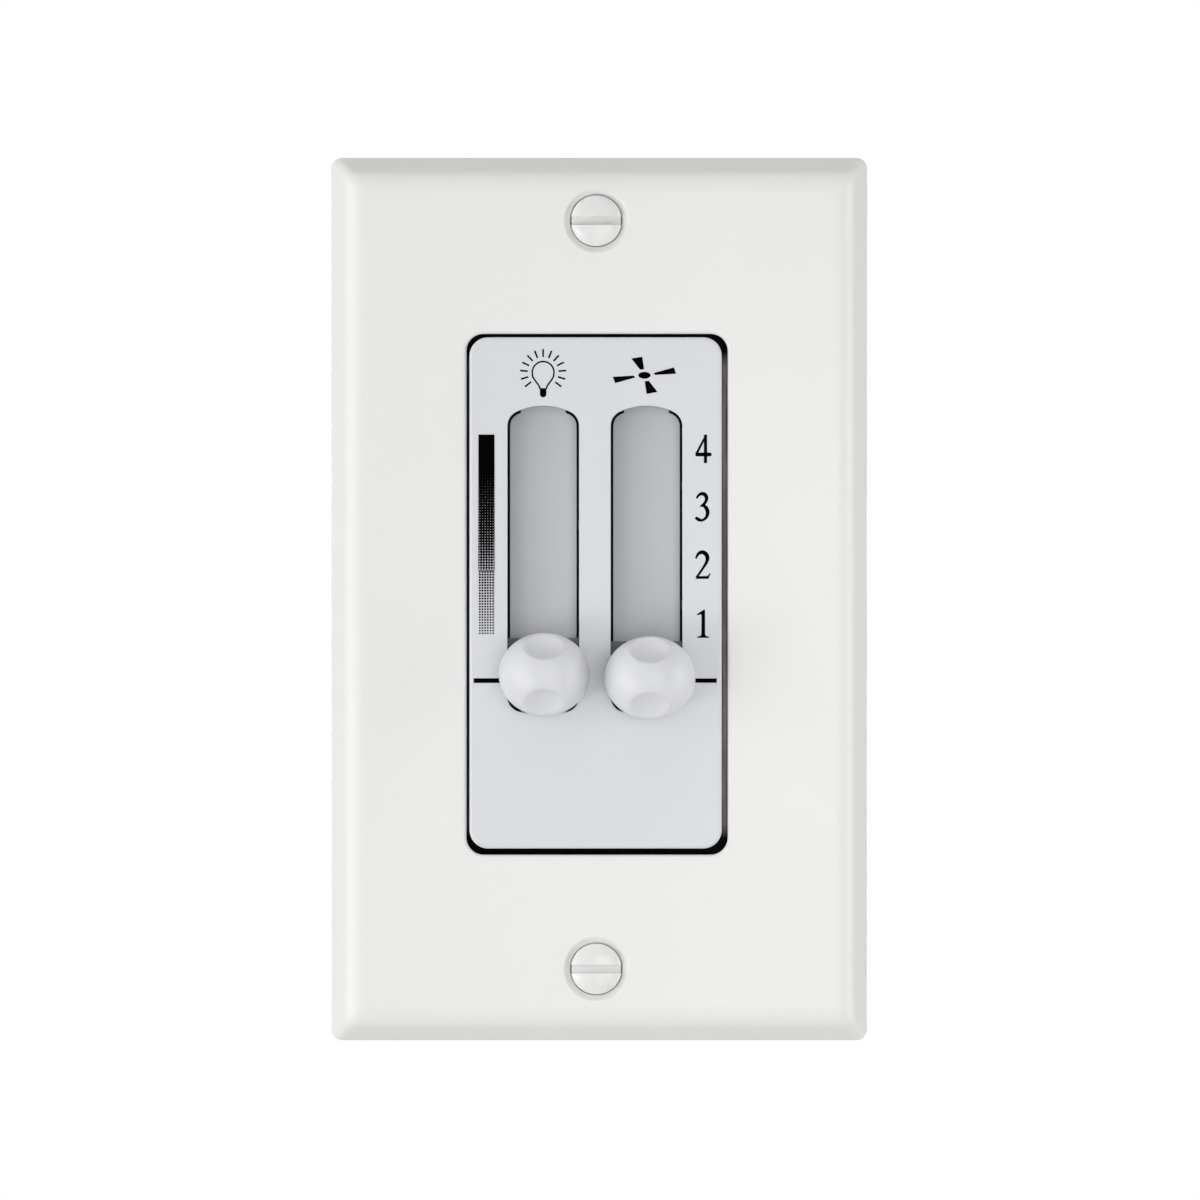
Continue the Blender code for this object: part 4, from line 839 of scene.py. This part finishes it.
def plate_countersink(z, head_r):
    """A shallow rolled dish with a steep cone in it, for one oval head."""
    face = plate_low.y
    edge = DISH_R + DISH_EDGE
    profile = [(DISH_R + over, face - out) for over, out in DISH_ABOVE]
    for k in range(DISH_STEPS + 1):
        t = k / DISH_STEPS
        radius = edge - (edge - head_r) * t
        profile.append((radius, face + DISH_DEPTH * math.sin(t * math.pi / 2) ** DISH_CURVE))
    bore = SCREW_R + BORE_GAP
    profile += [
        (head_r, face + DISH_DEPTH + DISH_STEP),
        (bore, face + PLATE_WALL - BORE_LAND),
        (bore, 0),
    ]
    return Form().turned(profile, 0.0, z, DISH_SIDES).make("countersink")


def plate_stiffening():
    """Four ribs round the opening and a boss round each screw, on the plate's hollow back."""
    front = PLATE_WALL + plate_low.y - RIB_ROOT
    depth = (front, PLATE_RIB_BACK)
    added = []
    for side in (-1, 1):
        x = sorted((side * PLATE_RIB_X, side * (PLATE_RIB_X + PLATE_RIB_T)))
        added.append(Form().box(x, depth, (-PLATE_RIB_END_Z, PLATE_RIB_END_Z)).make("rib"))
        z = sorted((side * PLATE_RIB_Z, side * (PLATE_RIB_Z + PLATE_RIB_T)))
        reach = PLATE_RIB_X + RIB_ROOT
        added.append(Form().box((-reach, reach), depth, z).make("rib"))
    for name in ("plate_screw_top", "plate_screw_bottom"):
        boss = [(PLATE_BOSS_R, front), (PLATE_BOSS_R, PLATE_RIB_BACK)]
        added.append(Form().turned(boss, 0.0, middle(name).z, 48).make("boss"))
    return added


def wall_plate():
    loops = plate_outer_loops() + plate_opening_loops() + plate_inner_loops()
    plate = Form().loft(loops, ring=True).make("wall_plate_shell")
    join(plate, *plate_stiffening())
    cutters = []
    for name in ("plate_screw_top", "plate_screw_bottom"):
        low, high, mid = measure(name)
        head_r = (high.x - low.x) / 2 + HEAD_GAP
        cutters.append(plate_countersink(mid.z, head_r))
    cut(plate, *cutters)
    settle(plate, PLATE_LOOK, ["wall_plate"], sharp=50, weighted=True)


# ---- face insert ----


def insert_outline(inset):
    size = insert_high - insert_low
    width, height = size.x - 2 * inset, size.z - 2 * inset
    return rounded_rect(width, height, INSERT_R - inset, insert_mid.x, insert_mid.z)


def slot_cutter(x):
    """A slot through the insert's face, with a small round on its front edge."""
    loops = [at_y(slot_outline(x), FACE_Y + INSERT_WALL + 1)]
    for a in quarter(SLOT_EDGE_STEPS):
        grow = SLOT_EDGE_R * (1 - math.cos(a))
        front = FACE_Y + SLOT_EDGE_R * (1 - math.sin(a))
        loops.append(at_y(slot_outline(x, grow), front))
    loops.append(at_y(slot_outline(x, SLOT_EDGE_R), FACE_Y - 1))
    return Form().loft(loops).make("slot")


def snap_leg(side_x, side_z):
    """A springy leg on the tray's end wall, hooked behind the strap."""
    x = (side_x * SNAP_X - SNAP_HALF_W, side_x * SNAP_X + SNAP_HALF_W)
    outer = SNAP_Z + SNAP_HALF_T
    inner = SNAP_Z - SNAP_HALF_T
    section = [
        (SNAP_Z + SNAP_ROOT, FACE_Y + 1),
        (SNAP_Z + SNAP_ROOT, INSERT_BACK),
        (outer, INSERT_BACK),
        (outer, SNAP_TIP_Y),
        (inner, SNAP_TIP_Y),
        (inner - SNAP_HOOK, SNAP_HOOK_END_Y),
        (inner - SNAP_HOOK, SNAP_HOOK_Y),
        (inner, SNAP_HOOK_Y),
        (inner, FACE_Y + 1),
    ]
    return Form().loft([[(a, y, side_z * z) for z, y in section] for a in x]).make("leg")


def face_insert():
    wall = INSERT_WALL
    loops = [
        at_y(insert_outline(wall), FACE_Y + wall),
        at_y(insert_outline(wall), INSERT_BACK),
        at_y(insert_outline(0), INSERT_BACK),
    ]
    for a in quarter(EDGE_STEPS):
        inset = INSERT_EDGE_R * (1 - math.cos(a))
        front = FACE_Y + INSERT_EDGE_R * (1 - math.sin(a))
        loops.append(at_y(insert_outline(inset), front))
    insert = Form().loft(loops).make("face_insert_tray")
    cut(insert, slot_cutter(LIGHT_X), slot_cutter(FAN_X))
    join(insert, *[snap_leg(a, b) for a in (-1, 1) for b in (-1, 1)])
    settle(insert, INSERT_LOOK, ["face_insert"], sharp=50, weighted=True)


# ---- knobs ----


def soft_min(a, b, soft):
    mix = max(soft - abs(a - b), 0.0) / soft
    return min(a, b) - mix * mix * soft / 4


def scoop_reach(point, side):
    """How far along the line from the knob's middle to this point the scoop begins."""
    size = Vector((SCOOP_HALF_W, SCOOP_R, SCOOP_R))
    centre = Vector((0.0, SCOOP_Y - KNOB_MID_Y, side * SCOOP_Z))
    p = Vector([a / b for a, b in zip(point, size)])
    c = Vector([a / b for a, b in zip(centre, size)])
    along = p.dot(c)
    inside = along**2 - p.dot(p) * (c.dot(c) - 1)
    if inside <= 0 or along <= 0:
        return BEYOND
    return (along - math.sqrt(inside)) / p.dot(p)


def knob(name, label, body):
    """A flattened ball with a flat back and two soft-edged finger scoops."""
    low, high, mid = measure(f"{label}_knob")
    radii = Vector(((high.x - low.x) / 2, KNOB_BALL_D / 2, (high.z - low.z) / 2))
    loops = []
    for k in range(KNOB_RINGS):
        polar = math.pi * (k + POLE_GAP) / (KNOB_RINGS - 1 + 2 * POLE_GAP)
        loop = []
        for j in range(KNOB_SIDES):
            a = 2 * math.pi * j / KNOB_SIDES
            point = Vector(
                (
                    radii.x * math.sin(polar) * math.cos(a),
                    -radii.y * math.cos(polar),
                    radii.z * math.sin(polar) * math.sin(a),
                )
            )
            reach = soft_min(1.0, scoop_reach(point, 1), SCOOP_SOFT)
            reach = soft_min(reach, scoop_reach(point, -1), SCOOP_SOFT)
            if point.y > 0:
                reach = soft_min(reach, (high.y - KNOB_MID_Y) / point.y, KNOB_BACK_SOFT)
            place = point * reach
            loop.append((mid.x + place.x, KNOB_MID_Y + place.y, mid.z + place.z))
        loops.append(loop)
    ball = Form().loft(loops).make(name)
    socket = Form().box(
        (mid.x - POST_W / 2 - POST_GAP, mid.x + POST_W / 2 + POST_GAP),
        (POST_FRONT - POST_END_GAP, high.y + 2),
        (mid.z - POST_H / 2 - POST_GAP, mid.z + POST_H / 2 + POST_GAP),
    )
    cut(ball, socket.make("socket"))
    settle(ball, KNOB_LOOK, [f"{label}_knob"], sharp=60, body=body)


# ---- screws ----


def screw_form(head, radius, start, end, mid, sides=48):
    """Head profile, then a helical thread from start to the tip at end, about mid."""
    x, z = mid.x, mid.z
    loops = [circle(r, y, x, z, sides) for r, y in head]
    heading = 1 if end > start else -1
    length = abs(end - start)
    rows = round(length / SCREW_PITCH * THREAD_ROWS)
    core = radius - THREAD_DEPTH
    for k in range(rows + 1):
        s = length * k / rows
        fade = min(1.0, s / SCREW_PITCH, (length - s) / SCREW_PITCH)
        loop = []
        for j in range(sides):
            turn = j / sides
            wave = 0.5 + 0.5 * math.cos(2 * math.pi * (s / SCREW_PITCH - turn * heading))
            r = core + THREAD_DEPTH * wave**THREAD_SHARP * max(fade, 0.0)
            a = 2 * math.pi * turn
            loop.append((x + r * math.cos(a), start + heading * s, z + r * math.sin(a)))
        loops.append(loop)
    loops.append(circle(core * TIP_SHARE, end, x, z, sides))
    return Form().loft(loops)


def dome(radius, rim, rise, steps=12):
    """Profile of an oval or round head, from near its top down to its rim."""
    profile = []
    for k in range(steps):
        a = math.radians(90 * (k + DOME_START) / (steps + DOME_START))
        profile.append((radius * math.sin(a), rim - rise * math.cos(a)))
    return profile


def slot_box(mid, front, back, half):
    """A cutter for a driver slot that runs across a screw's head."""
    x = (mid.x - CUT_REACH, mid.x + CUT_REACH)
    return Form().box(x, (front, back), (mid.z - half, mid.z + half)).make("slot")


def plate_screw(side):
    node = f"plate_screw_{side}"
    low, high, mid = measure(node)
    radius = (high.x - low.x) / 2
    rim = plate_low.y + PLATE_HEAD_SUNK
    head = dome(radius, rim, rim - low.y, 14)
    head += [(radius, rim), (radius, rim + PLATE_HEAD_EDGE)]
    head.append((SCREW_NECK_R, rim + PLATE_HEAD_CONE))
    form = screw_form(head, SCREW_R, rim + PLATE_THREAD_START, high.y, mid, 64)
    screw = form.make(f"painted_screw_{side}")
    cut(screw, slot_box(mid, rim - CUT_REACH, rim + PLATE_SLOT_DEPTH, PLATE_SLOT_HALF))
    settle(screw, PAINTED_LOOK, [node], sharp=40)


def box_screw(side):
    node = f"box_screw_{side}"
    low, high, mid = measure(node)
    radius = (high.x - low.x) / 2
    seat = low.y + BOX_HEAD_H
    edge = seat - BOX_HEAD_EDGE
    head = dome(radius, edge, edge - low.y, 10)
    head += [(radius, edge), (radius, seat), (SCREW_NECK_R, seat)]
    form = screw_form(head, SCREW_R, seat + UNDER_HEAD, high.y, mid)
    screw = form.make(f"mounting_screw_{side}")
    cut(screw, slot_box(mid, seat - CUT_REACH, seat - SLOT_UP, BOX_SLOT_HALF))
    settle(screw, ZINC_LOOK, [node], sharp=40)


def ground_screw():
    low, high, mid = measure("ground_screw")
    seat = low.y + GROUND_HEAD_H
    flange = (high.x - low.x) / 2
    head = [(flange - over, seat - up) for over, up in GROUND_FLANGE]
    head.append((SCREW_NECK_R, seat))
    form = screw_form(head, SCREW_R, seat + UNDER_HEAD, high.y, mid)
    screw = form.make("green_ground_screw")
    across, along = GROUND_HEX_CHAMFER
    hexagon = [(GROUND_HEX_R - across, low.y), (GROUND_HEX_R, low.y + along)]
    hexagon.append((GROUND_HEX_R, seat - GROUND_HEX_FOOT))
    join(screw, Form().turned(hexagon, mid.x, mid.z, 6).make("hex"))
    cut(screw, slot_box(mid, seat - CUT_REACH, seat - SLOT_UP, GROUND_SLOT_HALF))
    settle(screw, GREEN_LOOK, ["ground_screw"], sharp=40)


def housing_screw(node):
    low, high, mid = measure(node)
    radius = (high.x - low.x) / 2
    seat = high.y - CASE_HEAD_H
    head = [(CASE_CROWN_R, high.y)]
    head += [(radius * share, high.y - down) for share, down in CASE_CROWN]
    head += [(radius, seat), (CASE_NECK_R, seat)]
    form = screw_form(head, CASE_SCREW_R, seat - UNDER_HEAD, low.y, mid)
    screw = form.make(node.replace("housing", "case"))
    cut(screw, slot_box(mid, seat + CASE_SLOT_UP, seat + CUT_REACH, CASE_SLOT_HALF))
    settle(screw, ZINC_LOOK, [node], sharp=40)


# ---- printed marks ----


def ink(name, form):
    settle(form.make(name), INK_LOOK, sharp=30)


def ink_layer():
    return FACE_Y - INK_T, FACE_Y + INK_T


def bulb_mark():
    """A bulb in outline with a solid cap, and thirteen rays."""
    form = Form()
    layer = ink_layer()
    right = [(BULB_X + x, BULB_Z + z, BULB_LINE) for x, z in reversed(BULB_NECK)]
    left = [(BULB_X - x, BULB_Z + z, BULB_LINE) for x, z in BULB_NECK]
    top = arc((BULB_X, BULB_Z), BULB_R, -BULB_PAST, 180 + BULB_PAST, 16)
    round_part = [(x, z, BULB_LINE) for x, z in top]
    form.ribbon(curve_through(right + round_part + left, 4), *layer)
    cap = [(BULB_CAP_R, BULB_CAP_TOP), (-BULB_CAP_R, BULB_CAP_TOP)]
    cap += arc((0, BULB_CAP_LOW), BULB_CAP_R, 180, 360, 10)
    form.prism([(BULB_X + x, BULB_Z + z) for x, z in cap], *layer)
    for k in range(-RAYS_A_SIDE, RAYS_A_SIDE + 1):
        a = math.radians(90 + k * RAY_STEP)
        ray = [(r * math.cos(a), r * math.sin(a)) for r in (RAY_IN, RAY_OUT)]
        form.ribbon([(BULB_X + x, BULB_Z + z, RAY_LINE) for x, z in ray], *layer)
    ink("bulb_mark", form)


def fan_mark():
    """Four flat blades round an oval hub."""
    form = Form()
    layer = ink_layer()
    hub = [(FAN_HUB[0] * a, FAN_HUB[1] * b) for a, b in polygon((0, 0), 1.0, FAN_HUB_SIDES)]
    shapes = [hub]
    for blade in (FAN_SIDE_BLADE, FAN_END_BLADE):
        for side in (1, -1):
            shapes.append([(side * x, side * z) for x, z in blade])
    for shape in shapes:
        form.prism([(FAN_MARK_X + x, FAN_MARK_Z + z) for x, z in shape], *layer)
    ink("fan_mark", form)


def bar_cover(row):
    """Share of a cell that is inked: solid at the top, thinning towards the foot."""
    t = row / (BAR_ROWS - 1)
    for (start, first), (end, last) in zip(BAR_TONES, BAR_TONES[1:]):
        if t <= end:
            break
    return first + (last - first) * (t - start) / (end - start)


def tone_bar():
    """A halftone scale: a screen pierced with growing holes, then shrinking separate dots."""
    shape = bmesh.new()
    made = {}

    def corner(x, z):
        key = (round(x, 4), round(z, 4))
        if key not in made:
            made[key] = shape.verts.new(Vector((x, FACE_Y - INK_T, z)) * MM)
        return made[key]

    half = BAR_PITCH / 2
    for row in range(BAR_ROWS):
        cover = bar_cover(row)
        z = BAR_TOP - (row + 0.5) * BAR_PITCH
        for column in range(BAR_COLUMNS):
            x = BAR_LEFT + (column + 0.5) * BAR_PITCH
            rim = [(half, 0), (half, half), (0, half), (-half, half)]
            rim += [(-a, -b) for a, b in rim]
            if cover < BAR_SWITCH:
                side = half * math.sqrt(cover)
                dot = rounded_rect(2 * side, 2 * side, side * BAR_DOT_ROUND, x, z, steps=2)
                shape.faces.new([corner(a, b) for a, b in reversed(dot)])
                continue
            around = [corner(x + a, z + b) for a, b in rim]
            if cover > BAR_SOLID:
                shape.faces.new(list(reversed(around)))
                continue
            radius = BAR_PITCH * math.sqrt((1 - cover) / math.pi)
            hole = [corner(a, b) for a, b in polygon((x, z), radius, BAR_HOLE_SIDES)]
            for k in range(BAR_HOLE_SIDES):
                after = (k + 1) % BAR_HOLE_SIDES
                shape.faces.new([around[after], around[k], hole[k], hole[after]])
    bar = object_of(shape, "tone_bar")
    thick = bar.modifiers.new("thick", "SOLIDIFY")
    thick.thickness = 2 * INK_T * MM
    thick.offset = -1.0
    settle(bar, INK_LOOK, sharp=30)


def numeral(label, x, z, pens, outlines, dots):
    form = Form()
    layer = ink_layer()
    for pen in pens:
        path = curve_through(pen, 8) if len(pen) > 3 else pen
        form.ribbon([(x + a, z + b, half + PEN_SPREAD) for a, b, half in path], *layer)
    for outline in outlines:
        form.prism([(x + a, z + b) for a, b in outline], *layer)
    for a, b, radius in dots:
        form.prism(polygon((x + a, z + b), radius + PEN_SPREAD, PEN_DOT_SIDES), *layer)
    ink(f"speed_numeral_{label}", form)


def off_lines():
    """The line at the off position, in two parts, from each side to its slot."""
    layer = ink_layer()
    half_slot = SLOT_W / 2 + SLOT_EDGE_R
    lines = (
        ("left", OFF_LINE_LEFT, LIGHT_X - half_slot, OFF_LINE_LEFT_T),
        ("right", FAN_X + half_slot, OFF_LINE_RIGHT, OFF_LINE_RIGHT_T),
    )
    for side, start, end, thick in lines:
        z = (OFF_LINE_Z - thick / 2, OFF_LINE_Z + thick / 2)
        ink(f"off_line_{side}", Form().box((start, end), layer, z))


# ---- rear pieces ----


def lead_bushing(number):
    node = f"lead_bushing_{number}"
    low, high, mid = measure(node)
    flange = (high.x - low.x) / 2
    bore = flange - BUSHING_BORE_IN
    barrel = flange - BUSHING_FLANGE
    seat = high.y - BUSHING_FLANGE_T
    across, along = BUSHING_MOUTH
    crown_r, crown_h = BUSHING_CROWN
    profile = [(bore + BORE_SOFT, low.y), (barrel - BARREL_SOFT, low.y)]
    profile += [(barrel, low.y + BARREL_SOFT), (barrel, seat), (flange - FLANGE_SOFT, seat)]
    profile += [(flange, seat + FLANGE_SOFT), (flange, seat + BUSHING_RIM_T)]
    for a in quarter(BUSHING_STEPS):
        radius = bore + BUSHING_CROWN_IN + crown_r * math.cos(a)
        profile.append((radius, high.y - crown_h + crown_h * math.sin(a)))
    profile += [(bore + across, high.y), (bore, high.y - along), (bore, low.y + BORE_SOFT)]
    bushing = Form().turned(profile, mid.x, mid.z, ring=True).make(f"bushing_{number}")
    settle(bushing, BLACK_LOOK, [node], sharp=40)


# ---- frame nodes that keep their shape ----

# look, width of the softened edges, and the nodes
KEPT = [
    (FLOOR_LOOK, 0.12, "guide_frame"),
    (STRAP_LOOK, 0.12, "mounting_strap"),
    (BLACK_LOOK, 0.3, "rear_housing"),
    (FIBRE_LOOK, 0.08, "screw_retainer_top screw_retainer_bottom"),
    (BOARD_LOOK, 0.1, "circuit_board"),
    (GREY_CAP_LOOK, 0, "fan_capacitor_large fan_capacitor_small"),
    (YELLOW_CAP_LOOK, 0, "dimmer_capacitor"),
    (FERRITE_LOOK, 0.1, "choke_core"),
    (COPPER_LOOK, 0, "choke_winding"),
    (BLACK_LOOK, 0.1, "triac light_pot_case fan_switch_case light_pot_lever fan_switch_lever"),
    (PAD_LOOK, 0, "triac_pad"),
    (ZINC_LOOK, 0.08, "triac_rivet"),
    (PHENOLIC_LOOK, 0.05, "light_track_board fan_contact_board"),
    (ZINC_LOOK, 0.05, "fan_detent_strip"),
    (CARRIER_LOOK, 0.1, "light_carrier fan_carrier"),
    (BLACK_LOOK, 0.08, "light_link fan_link"),
    (BRASS_LOOK, 0, "light_wiper fan_bridge_contact"),
    (ZINC_LOOK, 0, "fan_detent_spring fan_detent_ball"),
]


def axial_looks():
    """Resistors and the diac, with their painted rings along the body."""
    mid = middle("timing_resistor").x
    first = mid + RING_FIRST
    timing = (BROWN, BLACK, ORANGE, GOLD)
    bleed = (RED, RED, BROWN, GOLD)
    return [
        (banded("resistor_rings", TAN, timing, first, RING_STEP, RING_W), 0, "timing_resistor"),
        (banded("bleed_rings", TAN, bleed, first, RING_STEP, RING_W), 0, "bleed_resistor"),
        (banded("diac_ring", BLUE, (BLACK,), mid, RING_STEP, RING_W), 0, "diac"),
    ]


def dress(name, look, edge):
    """Give a frame node its material and, where asked, a softened edge."""
    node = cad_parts[name]
    node.data.materials.clear()
    node.data.materials.append(look)
    if edge:
        weld = node.modifiers.new("weld", "WELD")
        weld.merge_threshold = WELD_REACH * MM
        bevel = node.modifiers.new("edge", "BEVEL")
        bevel.width = edge * MM
        bevel.segments = 2
        bevel.limit_method = "ANGLE"
        bevel.angle_limit = math.radians(BEVEL_ANGLE)


# ---- stage, light and camera ----


def pale_floor():
    shape = bmesh.new()
    bmesh.ops.create_circle(shape, cap_ends=True, radius=FLOOR_R, segments=FLOOR_SIDES)
    floor = object_of(shape, "pale_floor")
    floor.location = (0, 0, FLOOR_Z)
    look, tree, shader = start_look("floor_paper", 0.8)
    fibres = noise(tree, place_mm(tree), 0.2, 5.0)
    base = blend_colours(tree, fibres, (0.74, 0.74, 0.73), (0.78, 0.78, 0.78))
    tree.links.new(base, shader.inputs["Base Color"])
    seen = add(tree, "LightPath").outputs["Is Camera Ray"]
    lift = add(tree, "Math", {0: seen, 1: FLOOR_LIFT}, operation="MULTIPLY").outputs[0]
    shader.inputs["Emission Color"].default_value = (1, 1, 1, 1)
    tree.links.new(lift, shader.inputs["Emission Strength"])
    floor.data.materials.append(look)


def softbox(name, place, width, height, facing, beam=180):
    """A soft light aimed at the control; facing is its strength there, 1 being a white sky's."""
    lamp = bpy.data.lights.new(name, "AREA")
    lamp.shape = "RECTANGLE"
    lamp.size = width
    lamp.size_y = height
    place = Vector(place)
    lamp.energy = facing * math.pi * math.pi * place.length_squared
    lamp.spread = math.radians(beam)
    holder = bpy.data.objects.new(name, lamp)
    bpy.context.scene.collection.objects.link(holder)
    holder.location = place
    holder.rotation_mode = "QUATERNION"
    holder.rotation_quaternion = place.to_track_quat("Z", "Y")
    holder.visible_camera = False


def studio():
    world = bpy.data.worlds.new("studio")
    bpy.context.scene.world = world
    world.use_nodes = True
    tree = world.node_tree
    tree.nodes.clear()
    seen = add(tree, "Background", {"Color": (1, 1, 1, 1), "Strength": 1.0}).outputs[0]
    towards = add(tree, "SeparateXYZ", {0: add(tree, "TexCoord").outputs["Generated"]})
    left = spread(tree, towards.outputs["X"], -SKY_BLEND, SKY_BLEND, SKY_LEFT, 0.0)
    above = spread(tree, towards.outputs["Z"], -SKY_BLEND, SKY_BLEND, 0.0, SKY_ABOVE)
    strength = add(tree, "Math", {0: left, 1: above}, operation="ADD").outputs[0]
    fill = add(tree, "Background", {"Color": (1, 1, 1, 1), "Strength": strength}).outputs[0]
    ray = add(tree, "LightPath").outputs["Is Camera Ray"]
    both = add(tree, "MixShader", {0: ray, 1: fill, 2: seen}).outputs[0]
    add(tree, "OutputWorld", {"Surface": both})
    for row in SOFTBOXES:
        softbox(*row)
    bpy.context.scene.view_settings.view_transform = "Standard"


def camera():
    lens = bpy.data.cameras.new("camera")
    lens.sensor_width = SENSOR
    lens.lens = SENSOR * (VIEW_AWAY + PLATE_FACE_Y) / VIEW_W
    lens.clip_start = CLIP_NEAR
    lens.clip_end = CLIP_FAR
    holder = bpy.data.objects.new("camera", lens)
    bpy.context.scene.collection.objects.link(holder)
    holder.location = Vector((VIEW_X, -VIEW_AWAY, VIEW_Z)) * MM
    holder.rotation_euler = (math.radians(90), 0, 0)
    bpy.context.scene.camera = holder


# ---- the whole scene ----

camera()
studio()
pale_floor()
wall_plate()
face_insert()
knob("light_slide_knob", "light", "light_slider")
knob("fan_slide_knob", "fan", "fan_slider")
for side in ("top", "bottom"):
    plate_screw(side)
    box_screw(side)
    for hand in ("left", "right"):
        housing_screw(f"housing_screw_{side}_{hand}")
ground_screw()
for number in (1, 2, 3):
    lead_bushing(number)
bulb_mark()
fan_mark()
tone_bar()
for row in NUMERALS:
    numeral(*row)
off_lines()
for look, edge, names in KEPT + axial_looks():
    for name in names.split():
        dress(name, look, edge)
